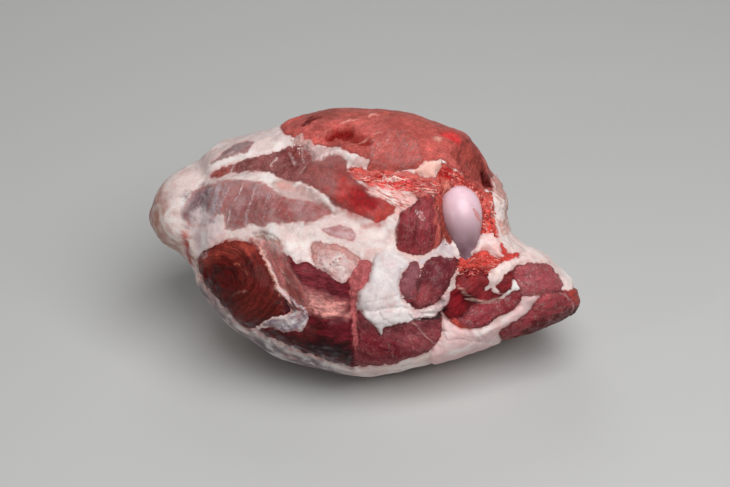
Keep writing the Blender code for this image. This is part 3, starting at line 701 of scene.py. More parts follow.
# thin lines drawn into the surface: half width in mm, tone, height in mm, then the picture places
faceLines = {
    # painted highlights on the upper topside
    "topsidePaintedHighlight1": (0.6, (222, 148, 136), 0.1, ((341, 125), (347, 122.5), (353, 121.5), (358, 121))),
    "topsidePaintedHighlight2": (0.5, (224, 150, 140), 0.1, ((369, 118), (374, 116.5), (379, 116.5))),
    # painted highlights on the upper eye
    "eyePaintedHighlight1": (0.55, (222, 190, 190), 0.2, ((416, 211), (419, 215), (423, 220))),
    "eyePaintedHighlight2": (0.4, (214, 176, 176), 0.2, ((419, 210), (423, 214), (426, 219))),
    "stripWhite1": (0.55, (226, 200, 196), 0.35, ((228.5, 177), (231, 171), (235, 166))),
    "stripWhite2": (0.9, (206, 168, 164), 0.4, ((289.4, 153.1), (291, 158), (294.5, 165))),
    "stripWhite3": (0.6, (214, 186, 180), 0.4, ((272, 166), (275, 161), (277, 158))),
    "stripWhite4": (0.5, (206, 170, 166), 0.3, ((301, 147), (302.5, 156), (304, 163))),
    "windowEdge": (0.6, (226, 214, 212), 0.3, ((217, 163), (228, 159), (244, 155), (253, 147), (256, 142))),
    "palePlaneLine": (0.45, (206, 134, 122), 0.3, (
        (347.7, 145.5), (362, 140.5), (374, 136), (384.2, 133.5))),
    "topsideRidge": (0.5, (212, 128, 114), 0.4, ((318, 136), (324, 133), (331, 129.5))),
    "shinHair1": (0.45, (214, 190, 190), 0.25, ((243, 184), (238, 196), (231, 210), (227, 224))),
    "shinHair2": (0.4, (204, 176, 178), 0.2, ((258, 184), (252, 200), (247, 214), (246, 226))),
    "shinHair3": (0.4, (204, 176, 178), 0.2, ((232, 184), (226, 196), (223, 206))),
    "shinHair4": (0.35, (200, 168, 168), 0.2, ((270, 190), (266, 204), (262, 220))),
    "shinWhite1": (2.2, (176, 156, 160), 0.1, ((219, 184), (217, 196), (214, 208), (212, 220))),
    "shinWhite2": (1.0, (172, 146, 148), 0.1, ((226, 184), (223, 198), (219, 212))),
    "shinWhite3": (0.6, (180, 160, 166), 0.15, ((203, 192), (206, 200), (204, 208))),
    "discLine": (0.38, (226, 170, 148), 0.3, (
        (258, 243), (264, 256), (269.1, 268.4), (274, 281), (280, 296))),
    "discPale": (0.4, (140, 74, 60), 0.3, ((236, 263), (242, 267), (248, 273))),
    "discTendon": (0.6, (124, 76, 70), 0.3, ((234, 293), (241, 292), (248, 290))),
    "capLine1": (0.4, (222, 170, 158), 0.3, ((268, 240), (274, 254), (281, 268), (290, 283))),
    "capLine2": (0.5, (224, 186, 176), 0.3, ((261, 240), (263, 246), (268, 256))),
    "silverLine": (0.9, (206, 190, 194), 0.6, ((278, 288), (285, 295), (294, 301), (302, 306), (306, 312))),
    "rumpLine": (0.4, (210, 170, 160), 0.3, ((411, 320), (421, 330), (430, 338), (438.5, 344.9))),
    "rumpFaint": (0.35, (170, 104, 104), 0.2, ((404, 326), (410, 338), (413, 350))),
    "hairMark": (0.35, (110, 80, 84), -0.2, ((441.5, 328), (444, 332), (447, 337))),
    "pocketLine1": (0.45, (222, 172, 158), 0.5, ((457, 285), (464, 291), (473, 298), (486, 301))),
    "pocketLine2": (0.6, (224, 186, 174), 0.5, (
        (467, 299), (476, 301), (487, 302), (495, 299), (503, 297))),
    "pocketLine3": (0.5, (216, 168, 156), 0.4, ((452, 282), (456, 277), (459, 272))),
    # painted shade in the creases of the fat plate
    "plateCreasePaintedShade1": (0.4, (206, 186, 180), -0.35, ((359, 302), (372, 300), (386, 299), (399, 292))),
    "plateCreasePaintedShade2": (0.5, (196, 172, 166), -0.45, ((377, 308), (380, 314), (386, 319), (392, 321))),
    # painted shade in the crease along the top of the cap muscle
    "bandCreasePaintedShade": (0.6, (150, 120, 116), -0.6, (
        (251.5, 234), (259, 232.5), (266.2, 233.2), (273, 235.5), (277, 239), (278.6, 243.5))),
    "knobStrand": (0.8, (232, 214, 204), 0.8, (
        (189, 239), (193, 248), (196, 256), (197.5, 268), (198.7, 281.6))),
    "redStreak1": (0.7, (224, 60, 52), 0.4, ((384, 185), (392, 183.5), (400, 184), (408, 186))),
    "redStreak2": (0.5, (206, 40, 44), 0.3, ((372, 176), (380, 178), (388, 181))),
    "holeStreak": (0.5, (196, 60, 50), 0.3, ((376, 176), (384, 174), (394, 173))),
    "hipWhite": (0.5, (222, 186, 176), 0.4, ((488, 200), (492, 214), (496, 228), (500, 240), (504, 246))),
    "sideBand": (0.5, (232, 206, 196), 0.4, ((505, 236), (512, 246), (516, 252))),
    "eyeWhite": (0.5, (226, 190, 180), 0.4, ((397, 243), (396, 230), (399, 214), (405, 207), (413, 200))),
    "eyeUnder": (0.7, (226, 196, 186), 0.4, ((404, 254), (416, 257), (430, 254), (440, 245))),
    "tailLine": (0.5, (206, 160, 152), 0.3, ((560, 292), (566, 296), (570, 304), (572, 310))),
}


# how a patch's height comes on: mm outside its edge where it begins, and mm that it takes
heightSteps = {"level": (0.6, 2.0), "sink": (1.0, 3.5), "rise": (1.0, 3.0), "rough": (0.5, 1.5)}
paintLook = {
    # size in mm, strength in pixels, seeds across and up
    "wobbles": ((7, 1.1, 3, 9), (2.2, 0.9, 5, 15)),
    # size in mm, seed, octaves
    "roughNoise": (2.6, 21, 2),
    "patchyNoise": (5, 51, 2),
    "leanTone": (150, 70, 68),
    "borderFade": 0.45,
    "tintPatchiness": 0.7,
    "swellOver": 5.0,
    "creaseWidth": 1.1,
    "lineReach": 6,
    "leanBand": 2.2,
    # degrees from the face's middle towards the back: where it ends or begins, and how many it takes
    "reliefEnds": (112, 14),
    "backToneBegins": (92, 10),
}


def paintFace(points, depth, behind=None):
    # tones, edges, relief and fibre directions of the skin as the picture's camera sees it
    place = pictureOf(points)
    wobble = np.zeros_like(place)
    for size, strength, *seeds in paintLook["wobbles"]:
        wobble += np.stack([noiseAt(points, size, seed) for seed in seeds], axis=1) * strength
    place = place + wobble
    rough = noiseAt(points, *paintLook["roughNoise"])
    patchy = noiseAt(points, *paintLook["patchyNoise"])
    count = len(points)
    lean = np.tile(tone(*paintLook["leanTone"]), (count, 1))
    fat = np.tile(tone(*fatLook["faceTone"]), (count, 1))
    edge = np.full(count, -12.0)
    veil, stripe, fleck, soft = (np.zeros(count) for _ in range(4))
    relief = np.zeros(count)
    heights = {"level": 1, "sink": -1, "rise": 1, "rough": rough}
    fibre = place * cameraLook["mmPerPixel"]
    for patch in facePatches.values():
        d = insideDistance(smoothLoop(patch["edge"], 2), place)
        ink = np.array(tone(*patch["tone"]))
        blur = patch.get("soft", paintLook["borderFade"])
        if patch["kind"] == "tint":
            d = d + patchy * blur * paintLook["tintPatchiness"]
        cover = ease((d + blur) / (2 * blur))
        if patch["kind"] == "lean":
            edge = np.maximum(edge, d)
            lean += cover[:, None] * (ink - lean)
        elif patch["kind"] == "white":
            edge = np.minimum(edge, -d)
            fat += cover[:, None] * (ink - fat)
        else:
            lean += cover[:, None] * (ink - lean)
            fat += (cover * (edge < 1))[:, None] * (ink - fat)
        inside = d > 0
        if patch["kind"] != "tint" or "veil" in patch:
            veil += cover * (patch.get("veil", 0) - veil)
        if patch["kind"] == "lean" or "stripe" in patch:
            stripe += cover * (patch.get("stripe", 0) - stripe)
            fleck += cover * (patch.get("fleck", 0) - fleck)
        if patch["kind"] != "tint":
            soft += cover * (blur - soft)
        if "swirl" in patch:
            off = place - np.array(patch["swirl"])
            off = off * (1, 1.15)
            radius, way = np.hypot(*off.T), np.arctan2(off[:, 1], off[:, 0])
            laid = np.stack((way * 9.0, radius * 0.6 * (1 + 0.25 * np.sin(way + 0.6))), axis=1)
            fibre[inside] = laid[inside]
        elif "grain" in patch:
            way = math.radians(patch["grain"])
            along = place[:, 0] * math.cos(way) - place[:, 1] * math.sin(way)
            across = place[:, 0] * math.sin(way) + place[:, 1] * math.cos(way)
            laid = np.stack((along, across), axis=1) * cameraLook["mmPerPixel"]
            fibre[inside] = laid[inside]
        relief += patch.get("swell", 0) * (1 - np.exp(-np.maximum(d, 0) / paintLook["swellOver"]))
        relief -= patch.get("crease", 0) * np.exp(-((d / paintLook["creaseWidth"]) ** 2))
        for key, (before, over) in heightSteps.items():
            if key in patch:
                relief += patch[key] * heights[key] * ease((d + before) / over)
    for half, ink, height, line in faceLines.values():
        path = smoothLine(line, 2)
        low, high = path.min(0) - paintLook["lineReach"], path.max(0) + paintLook["lineReach"]
        near = np.flatnonzero(np.all((place > low) & (place < high), axis=1))
        d = lineDistance(path, place[near]) * cameraLook["mmPerPixel"]
        wide = half * (0.75 + 0.6 * rough[near])
        worn = np.clip(0.8 + 0.5 * patchy[near], 0.45, 1)
        cover = ((1 - ease((d - wide * 0.5) / (half * 0.9))) * worn)[:, None]
        for layer in (lean, fat):
            layer[near] += cover * (np.array(tone(*ink)) - layer[near])
        veil[near] *= 1 - cover[:, 0]
        relief[near] += height * np.exp(-((d / half) ** 2))
    ends, over = paintLook["reliefEnds"]
    relief *= ease((ends - depth) / over)
    if behind is not None:
        begins, over = paintLook["backToneBegins"]
        edge = np.minimum(edge, np.maximum(paintLook["leanBand"] - behind, (begins - depth) * 1.2))
        plain = ease((depth - begins) / over)[:, None]
        fat += plain * (np.array(tone(*fatLook["backTone"])) - fat)
    return {
        "leanTone": lean, "fatTone": fat, "leanEdge": edge, "veil": veil, "stripe": stripe, "fleck": fleck,
        "edgeBlur": soft, "relief": relief, "fibre": fibre,
    }


def addAttribute(mesh, name, values):
    values = np.asarray(values, np.float32)
    if values.ndim == 1:
        mesh.attributes.new(name, "FLOAT", "POINT").data.foreach_set("value", values)
    else:
        rgba = np.ones((len(values), 4), np.float32)
        rgba[:, :3] = values
        mesh.attributes.new(name, "FLOAT_COLOR", "POINT").data.foreach_set("color", rgba.ravel())


def putPaint(mesh, paint):
    for name in ("leanTone", "fatTone"):
        addAttribute(mesh, name, np.clip(paint[name], 0, 1))
    for name in ("leanEdge", "veil", "stripe", "fleck", "edgeBlur"):
        addAttribute(mesh, name, paint[name])
    corner = np.zeros(len(mesh.loops), np.int32)
    mesh.loops.foreach_get("vertex_index", corner)
    layer = mesh.uv_layers.new(name="fibreMap")
    layer.data.foreach_set("uv", (paint["fibre"][corner] * 0.01).astype(np.float32).ravel())


# finishes

class NodeTree:
    # what is linked to a socket is another node's output, or else a plain value
    def put(self, kind, links=None, output=0, **settings):
        node = self.tree.nodes.new(kind)
        for key, value in settings.items():
            setattr(node, key, value)
        for socket, value in (links or {}).items():
            self.feed(node.inputs[socket], value)
        return node.outputs[output]

    def feed(self, socket, value):
        if isinstance(value, bpy.types.NodeSocket):
            self.tree.links.new(value, socket)
        else:
            socket.default_value = value


class Finish(NodeTree):
    def __init__(self, name):
        self.material = bpy.data.materials.new(name)
        self.material.use_nodes = True
        self.tree = self.material.node_tree
        self.shader = self.tree.nodes["Principled BSDF"]

    def attribute(self, name, output="Fac"):
        return self.put("ShaderNodeAttribute", output=output, attribute_name=name)

    def math(self, operation, a, b=0.0, clamp=False):
        return self.put("ShaderNodeMath", {0: a, 1: b}, operation=operation, use_clamp=clamp)

    def noise(self, vector, scale, detail=3.0, roughness=0.55, distortion=0.0):
        return self.put("ShaderNodeTexNoise", {
            "Vector": vector, "Scale": scale, "Detail": detail, "Roughness": roughness,
            "Distortion": distortion,
        }, "Fac")

    def stretch(self, vector, scale):
        return self.put("ShaderNodeMapping", {"Vector": vector, "Scale": scale})

    def span(self, value, low, high, start=0.0, end=1.0):
        return self.put("ShaderNodeMapRange", {
            "Value": value, "From Min": low, "From Max": high, "To Min": start, "To Max": end,
        }, "Result", interpolation_type="SMOOTHSTEP")

    def mix(self, share, a, b, blend="MIX"):
        colours = {6 + k: (*c, 1) if isinstance(c, tuple) else c for k, c in enumerate((a, b))}
        return self.put("ShaderNodeMix", {"Factor": share, **colours}, 2, data_type="RGBA",
                        blend_type=blend)

    def shade(self, colour, factor):
        # colour times a number
        grey = self.put("ShaderNodeCombineColor", {0: factor, 1: factor, 2: factor})
        return self.mix(1.0, colour, grey, "MULTIPLY")

    def about(self, value, middle, below, above):
        # a value near middle that follows a noise
        return self.span(value, 0.3, 0.7, middle - below, middle + above)

    def done(self, look, colour, roughness, height):
        links = {
            "Base Color": colour,
            "Roughness": roughness,
            "Subsurface Weight": look["scatter"],
            "Subsurface Radius": look["scatterSpread"],
            "Subsurface Scale": look["scatterReach"],
            "Specular IOR Level": look["shine"],
            "Coat Weight": look["coat"],
            "Coat Roughness": look["coatRoughness"],
            "Normal": self.put("ShaderNodeBump", {
                "Height": height, "Strength": look["bump"], "Distance": look["bumpHeight"],
            }),
        }
        for socket, value in links.items():
            self.feed(self.shader.inputs[socket], value)
        return self.material


meatLook = {
    # the sizes of the noises, as waves to the metre
    "fine": 900,
    "middling": 260,
    "broad": 70,
    "filmCloud": 120,
    "fatBlush": 95,
    "fatCool": 130,
    "fatClean": 60,
    # the same for those that follow the fibres, to 100 mm: along them, across them, out of the surface
    "fibreWaves": (9.0, 92.0, 1.0),
    "bundleWaves": (4.0, 26.0, 1.0),
    "curlWaves": (26.0, 60.0, 1.0),
    "wispWaves": (2.2, 15.0, 1.0),
    "curlTone": (234, 196, 190),
    "filmTone": (218, 200, 200),
    "blushTone": (212, 150, 140),
    "coolTone": (176, 162, 168),
    "cleanTone": (246, 240, 236),
    "nearLeanTone": (200, 104, 94),
    "fibreDark": 0.55,
    "fibreLight": 1.34,
    "edgeRag": 1.5,
    "leanRoughness": 0.33,
    "fatRoughness": 0.42,
    "scatter": 0.10,
    "scatterSpread": (1.0, 0.42, 0.34),
    "scatterReach": 0.0018,
    "shine": 0.08,
    "coat": 0.06,
    "coatRoughness": 0.14,
    "bump": 0.85,
    "bumpHeight": 0.0013,
}


def meatFinish(name, look):
    n = Finish(name)
    place = n.put("ShaderNodeTexCoord", output="Object")
    fibreMap = n.put("ShaderNodeUVMap", uv_map="fibreMap")
    fine = n.noise(place, look["fine"], 4, 0.62)
    middling = n.noise(place, look["middling"], 4, 0.6)
    broad = n.noise(place, look["broad"], 3, 0.55)
    fibre = n.noise(n.stretch(fibreMap, look["fibreWaves"]), 1.0, 4, 0.62, 0.25)
    bundle = n.noise(n.stretch(fibreMap, look["bundleWaves"]), 1.0, 3, 0.6, 0.35)
    stripe = n.attribute("stripe")

    # lean: tone, fibres, painted shade along its border, pale curls, then the film of skin over it
    leanTone = n.attribute("leanTone", "Color")
    streak = n.math("ADD", n.math("MULTIPLY", fibre, 0.6), n.math("MULTIPLY", bundle, 0.4))
    light = n.span(streak, 0.36, 0.66, look["fibreDark"], look["fibreLight"])
    light = n.math("ADD", 1.0, n.math("MULTIPLY", n.math("SUBTRACT", light, 1.0), stripe))
    light = n.math("MULTIPLY", light, n.span(fine, 0.32, 0.68, 0.8, 1.22))
    light = n.math("MULTIPLY", light, n.span(middling, 0.28, 0.72, 0.82, 1.2))
    light = n.math("MULTIPLY", light, n.span(broad, 0.28, 0.72, 0.82, 1.16))
    leanEdge = n.attribute("leanEdge")
    # the lean darker within about 2 mm of its border with the fat: painted shade where they meet
    light = n.math("MULTIPLY", light, n.span(n.math("ADD", leanEdge, middling), 0.4, 2.2, 0.78, 1.0))
    leanColour = n.shade(leanTone, light)
    curl = n.noise(n.stretch(fibreMap, look["curlWaves"]), 1.0, 4, 0.65, 1.6)
    curl = n.math("ABSOLUTE", n.math("SUBTRACT", curl, 0.5))
    curlShare = n.math("MULTIPLY", n.span(curl, 0.03, 0.0), n.span(middling, 0.42, 0.62))
    curlShare = n.math("MULTIPLY", curlShare, n.attribute("fleck"), clamp=True)
    leanColour = n.mix(n.math("MULTIPLY", curlShare, 0.75), leanColour, tone(*look["curlTone"]))
    cloud = n.noise(place, look["filmCloud"], 5, 0.65, 0.4)
    wisps = n.noise(n.stretch(fibreMap, look["wispWaves"]), 1.0, 4, 0.62, 0.8)
    hair = n.math("ABSOLUTE", n.math("SUBTRACT", wisps, 0.5))
    hair = n.math("MULTIPLY", n.span(hair, 0.016, 0.0), n.span(broad, 0.4, 0.6, 0.0, 1.0))
    film = n.attribute("veil")
    veil = n.math("MULTIPLY", film, n.span(cloud, 0.34, 0.66, 0.5, 1.5))
    veil = n.math("MULTIPLY", veil, n.span(wisps, 0.36, 0.64, 0.82, 1.2))
    veil = n.math("ADD", veil, n.math("MULTIPLY", hair, film), clamp=True)
    leanColour = n.mix(veil, leanColour, tone(*look["filmTone"]))

    # fat: tone with faint pink and grey mottling, and pinker where it meets the lean
    fatTone = n.attribute("fatTone", "Color")
    fatColour = n.shade(fatTone, n.math("MULTIPLY", n.span(middling, 0.25, 0.75, 0.9, 1.07),
                                        n.span(fine, 0.3, 0.7, 0.94, 1.05)))
    blush = n.span(n.noise(place, look["fatBlush"], 5, 0.7, 0.6), 0.5, 0.72, 0.0, 0.42)
    fatColour = n.mix(blush, fatColour, tone(*look["blushTone"]))
    cool = n.span(n.noise(place, look["fatCool"], 4, 0.65, 0.3), 0.5, 0.72, 0.0, 0.35)
    fatColour = n.mix(cool, fatColour, tone(*look["coolTone"]))
    clean = n.span(n.noise(place, look["fatClean"], 4, 0.65, 0.5), 0.46, 0.64, 0.0, 0.6)
    fatColour = n.mix(clean, fatColour, tone(*look["cleanTone"]))
    nearLean = n.math("MULTIPLY", n.span(leanEdge, -1.6, 0.1), n.span(middling, 0.34, 0.62, 0.05, 0.9))
    fatColour = n.mix(n.math("MULTIPLY", nearLean, 0.6), fatColour, tone(*look["nearLeanTone"]))

    # ragged border between them
    rag = n.math("ADD", n.math("MULTIPLY", n.math("SUBTRACT", fine, 0.5), 0.8),
                 n.math("MULTIPLY", n.math("SUBTRACT", middling, 0.5), 1.4))
    edge = n.math("ADD", leanEdge, n.math("MULTIPLY", rag, look["edgeRag"]))
    blur = n.attribute("edgeBlur")
    wide = n.math("MAXIMUM", n.math("MULTIPLY", blur, 2.0), 0.2)
    isLean = n.span(n.math("DIVIDE", n.math("ADD", edge, blur), wide), 0.0, 1.0)

    def leanOrFat(leanValue, fatValue):
        return n.math("ADD", n.math("MULTIPLY", isLean, n.math("SUBTRACT", leanValue, fatValue)), fatValue)

    leanHeight = n.math("ADD", n.math("MULTIPLY", streak, stripe), n.math("MULTIPLY", fine, 0.38))
    leanHeight = n.math("ADD", leanHeight, n.math("MULTIPLY", curlShare, 0.25))
    fatHeight = n.math("ADD", n.math("MULTIPLY", middling, 0.5), n.math("MULTIPLY", fine, 0.2))
    roughness = leanOrFat(n.about(fine, look["leanRoughness"], 0.06, 0.12),
                          n.about(fine, look["fatRoughness"], 0.05, 0.10))
    colour = n.mix(isLean, fatColour, leanColour)
    return n.done(look, colour, roughness, leanOrFat(leanHeight, fatHeight))


# the sizes and looks of the three pieces, kept together because the fat and the lean are painted alike
# and the lean gives way to the bone

fatLook = {
    "faceTone": (226, 203, 198),
    "backTone": (226, 204, 194),
    "columns": 576,
    "rows": 64,
    "rowSpread": 1.15,
    "backCells": 72,
    "innerRows": (0.05, 0.12, 0.26, 0.46),
    "innerBackCells": 9,
    "innerFloorGap": 0.6,
    # size in mm, seed, height in mm
    "lumps": ((14, 41, 0.7), (4, 43, 0.2)),
}
leanLook = {
    "faceCells": 144,
    "backCells": 9,
    "underRows": (0.012, 0.05),
    "halvingRows": (0.12, 0.26, 0.44, 0.70),
    "gapUnderFat": 0.5,
    "sinkStep": 0.5,
    "sinkSteps": 60,
    "floorGap": 0.3,
    "lumps": ((9, 31, 0.45), (3.2, 33, 0.18)),
}
boneLook = {
    "sides": 96,
    "rings": 60,
    "headTop": (52.3, 33.0, 37.0),
    "headAxis": (6.0, -41.0, 3.0),
    "socketGap": 0.5,
    "tone": (240, 204, 214),
    # painted shade towards the ball's bottom: its tone, the picture row where it begins and the rows it
    # takes
    "paintedShadeTone": (98, 62, 70),
    "paintedShadeFrom": 196,
    "paintedShadeOver": 60,
    "lilac": (190, 160, 178),
    "blush": (206, 122, 112),
    "redStreak": ((472, 207), (477, 210), (481, 218), (482, 224), (478, 220), (474, 213)),
    "redPatch": ((461, 196), (468, 195), (475, 200), (474, 206), (467, 205), (463, 201)),
    "markDepth": 12,
    "roughness": 0.36,
    "scatter": 0.3,
    "scatterSpread": (1.0, 0.5, 0.45),
    "scatterReach": 0.004,
    "shine": 0.5,
    "coat": 0.24,
    "coatRoughness": 0.08,
    "bump": 0.12,
    "bumpHeight": 0.0006,
}
# length from the top, half width
boneProfile = (
    (0.0, 0.0), (0.5, 3.4), (2.0, 6.4), (5.0, 9.5), (10.0, 11.7), (16.0, 12.5), (22.0, 11.8), (28.0, 10.1),
    (34.0, 7.9), (39.0, 6.6), (46.0, 6.2), (52.0, 7.4), (54.0, 0.0),
)


def fatThickness(turn, row):
    full = ringValue([(k[0], k[2]) for k in fatEdgeKnots], 1, turn)
    return full * np.interp(row, (0, 0.05, 0.12), (0, 0.6, 1))


def lumpsAt(points, look):
    return sum(noiseAt(points, size, seed) * height for size, seed, height in look["lumps"])


def shownNormals(mesh, points, faces, shown):
    # the first points, which show, are shaded by the faces among them alone
    part = meshFrom("shown", points, [f for f in faces if max(f) < shown])
    normals = vertexNormals(mesh)
    normals[:shown] = vertexNormals(part)[:shown]
    bpy.data.meshes.remove(part)
    return normals


def addPiece(name, mesh, finish, slot, *nodes):
    thing = bpy.data.objects.new(name, mesh)
    bpy.context.scene.collection.objects.link(thing)
    if finish:
        mesh.materials.append(finish)
    if nodes:
        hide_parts(*nodes)
    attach(thing, "root")


boneTop = toTable([boneLook["headTop"]])[0] + faceMiddle
boneRun = toTable([boneLook["headAxis"]])[0]
boneRun = boneRun / np.linalg.norm(boneRun)


def insideBone(points, gap):
    off = points - boneTop
    along = off @ boneRun
    aside = np.linalg.norm(off - along[:, None] * boneRun, axis=1)
    length, width = np.array(boneProfile).T
    return aside < np.interp(along, length, width) + gap * (along > -gap)


# the lean

def buildLean():
    look = leanLook
    share, turn, faces, rim = roundGrid(look["faceCells"])
    turn = turn + legForm["gridTurn"]
    shown, points = len(share), 8 * look["faceCells"]
    grid = SkinGrid(turn, share * fatStart(turn), np.where(share == 1, 0.0, -1.0), faces, rim)
    grid.belt([(row, points) for row in look["underRows"]])
    grid.belt(halvingRows(points, look["halvingRows"]))
    grid.back(look["backCells"])
    turn, depth, row = grid.points()
    skin, outward = legSkin(turn, depth, grid.faces)
    skin = restOnTable(skin)
    under = row > 0
    thickness = np.where(under, fatThickness(turn, np.maximum(row, 0)) + look["gapUnderFat"], 0)
    paint = paintFace(skin, depth)
    paint["relief"][under] = 0
    lift = paint["relief"] + lumpsAt(skin, look) * ~under
    points = skin + outward * (lift - thickness)[:, None]
    # the surface runs down round the bone
    for _ in range(look["sinkSteps"]):
        sunk = insideBone(points, boneLook["socketGap"])
        if not sunk.any():
            break
        points[sunk] -= outward[sunk] * look["sinkStep"]
    points[:, 2] = np.maximum(points[:, 2], look["floorGap"])
    mesh = meshFrom("leanMeat", points, grid.faces)
    putPaint(mesh, paint)
    return mesh, points[:shown], shownNormals(mesh, points, grid.faces, shown), np.array(rim)


meat = meatFinish("meatFinish", meatLook)
leanMesh, skinPoints, leanNormals, leanRim = buildLean()
addPiece("leanMeat", leanMesh, meat, "raw_lean", "lean_meat")
print("lean:", len(leanMesh.polygons), "faces")


# the fat

def buildFat():
    look = fatLook
    first = look["columns"] * 2
    turn = np.arange(first) * 360 / first + legForm["gridTurn"]
    grid = SkinGrid(turn, fatStart(turn), np.zeros(first), [], list(range(first)))
    shares = np.linspace(0, 1, look["rows"] + 1)[1:-1] ** look["rowSpread"]
    grid.belt([(row, look["columns"]) for row in shares])
    grid.back(look["backCells"])
    # the inner side begins at the same first ring
    outer, faces = grid.count, grid.faces
    grid.faces, grid.ring = [], list(range(first))
    grid.belt(halvingRows(first, look["innerRows"]))
    grid.back(look["innerBackCells"])
    turn, depth, row = grid.points()
    skin, outward = legSkin(turn[:outer], depth[:outer], faces)
    innerSkin, innerOut = legSkin(turn, depth, grid.faces)
    skin = restOnTable(np.concatenate((skin, innerSkin[outer:])))
    outward = np.concatenate((outward, innerOut[outer:]))
    behind = np.linalg.norm(plainLeg(turn, depth) - plainLeg(turn, fatStart(turn)), axis=1)
    paint = paintFace(skin, depth, behind)
    isOuter = np.arange(len(skin)) < outer
    low = ease((skin[:, 2] - 1) / 6)
    lift = np.where(isOuter, (paint["relief"] + lumpsAt(skin, look)) * low, 0)
    lift[:first] = paint["relief"][:first] + lumpsAt(skin[:first], leanLook)
    swellIn = ease(behind / 5) * 0.5
    points = skin + outward * (lift + np.where(isOuter, swellIn * low, -fatThickness(turn, row)))[:, None]
    points[:, 2] = np.maximum(points[:, 2], np.where(isOuter, 0, look["innerFloorGap"]))
    faces += [tuple(reversed(f)) for f in grid.faces]
    mesh = meshFrom("fatCover", points, faces)
    putPaint(mesh, paint)
    normals = shownNormals(mesh, points, faces, outer)
    # lean and fat share their normals where they meet
    together = normals[:first] + leanNormals[leanRim]
    together /= np.linalg.norm(together, axis=1)[:, None]
    normals[:first] = together
    leanNormals[leanRim] = together
    mesh.normals_split_custom_set_from_vertices(normals.tolist())
    leanMesh.normals_split_custom_set_from_vertices(leanNormals.tolist())
    return mesh


fatMesh = buildFat()
addPiece("fatCover", fatMesh, meat, "raw_fat", "fat_cover")
print("fat:", len(fatMesh.polygons), "faces")


# the end of the thigh bone

def boneFinish(look):
    n = Finish("boneFinish")
    place = n.put("ShaderNodeTexCoord", output="Object")
    # painted shade: darker and browner towards the ball's bottom
    colour = n.mix(n.attribute("low"), tone(*look["tone"]), tone(*look["paintedShadeTone"]))
    cloud = n.noise(place, 90, 3, 0.5)
    colour = n.mix(n.span(cloud, 0.4, 0.7, 0.0, 0.3), colour, tone(*look["lilac"]))
    fine = n.noise(place, 700, 4, 0.6)
    ragged = n.math("ADD", n.attribute("mark"), n.math("MULTIPLY", n.math("SUBTRACT", fine, 0.55), 2.2))
    colour = n.mix(n.span(ragged, 0.4, 0.95, 0.0, 0.75), colour, tone(*look["blush"]))
    return n.done(look, colour, n.about(fine, look["roughness"], 0.04, 0.06), fine)


def buildBone():
    look = boneLook
    length, sides = boneProfile[-1][0], look["sides"]
    lengths = length * (1 - np.cos(np.linspace(0, math.pi / 2, look["rings"])[1:]))
    # an egg's smooth outline through the profile's sizes
    width = np.interp(lengths, *np.array(boneProfile).T)
    for _ in range(6):
        width[1:-1] = (width[:-2] + 2 * width[1:-1] + width[2:]) / 4
    side = np.cross(boneRun, (0, 1, 0))
    side /= np.linalg.norm(side)
    other = np.cross(boneRun, side)
    around = np.arange(sides)[:, None] * math.tau / sides
    rings = [boneTop + z * boneRun + r * (np.cos(around) * side + np.sin(around) * other)
             for z, r in zip(lengths[:-1], width[:-1])]
    points = np.concatenate(rings + [[boneTop], [boneTop + length * boneRun]])
    top, bottom, last = len(points) - 2, len(points) - 1, (len(rings) - 1) * sides
    faces = []
    for start in range(0, last, sides):
        for m in range(sides):
            a, b = start + m, start + (m + 1) % sides
            faces.append((a, b, b + sides, a + sides))
    faces += [(top, (m + 1) % sides, m) for m in range(sides)]
    faces += [(bottom, last + m, last + (m + 1) % sides) for m in range(sides)]
    mesh = meshFrom("boneHead", points, faces)
    place = pictureOf(points)
    streak, patch = (insideDistance(smoothLoop(look[key], 2), place) for key in ("redStreak", "redPatch"))
    front = (points - boneTop) @ lookAlong < look["markDepth"]
    addAttribute(mesh, "mark", (ease(streak + 0.6) + 0.5 * ease(patch / 3 + 0.5)) * front)
    # how far down the ball the painted shade has come on
    addAttribute(mesh, "low", ease((place[:, 1] - look["paintedShadeFrom"]) / look["paintedShadeOver"]))
    return mesh


boneMesh = buildBone()
addPiece("boneHead", boneMesh, boneFinish(boneLook), "gristle", "femur_head")
print("bone:", len(boneMesh.polygons), "faces")


# torn strands and crumbs of tissue: where on the picture they lie, how many, their lengths and half widths
# in mm, the way they run in degrees and how far they stray from it

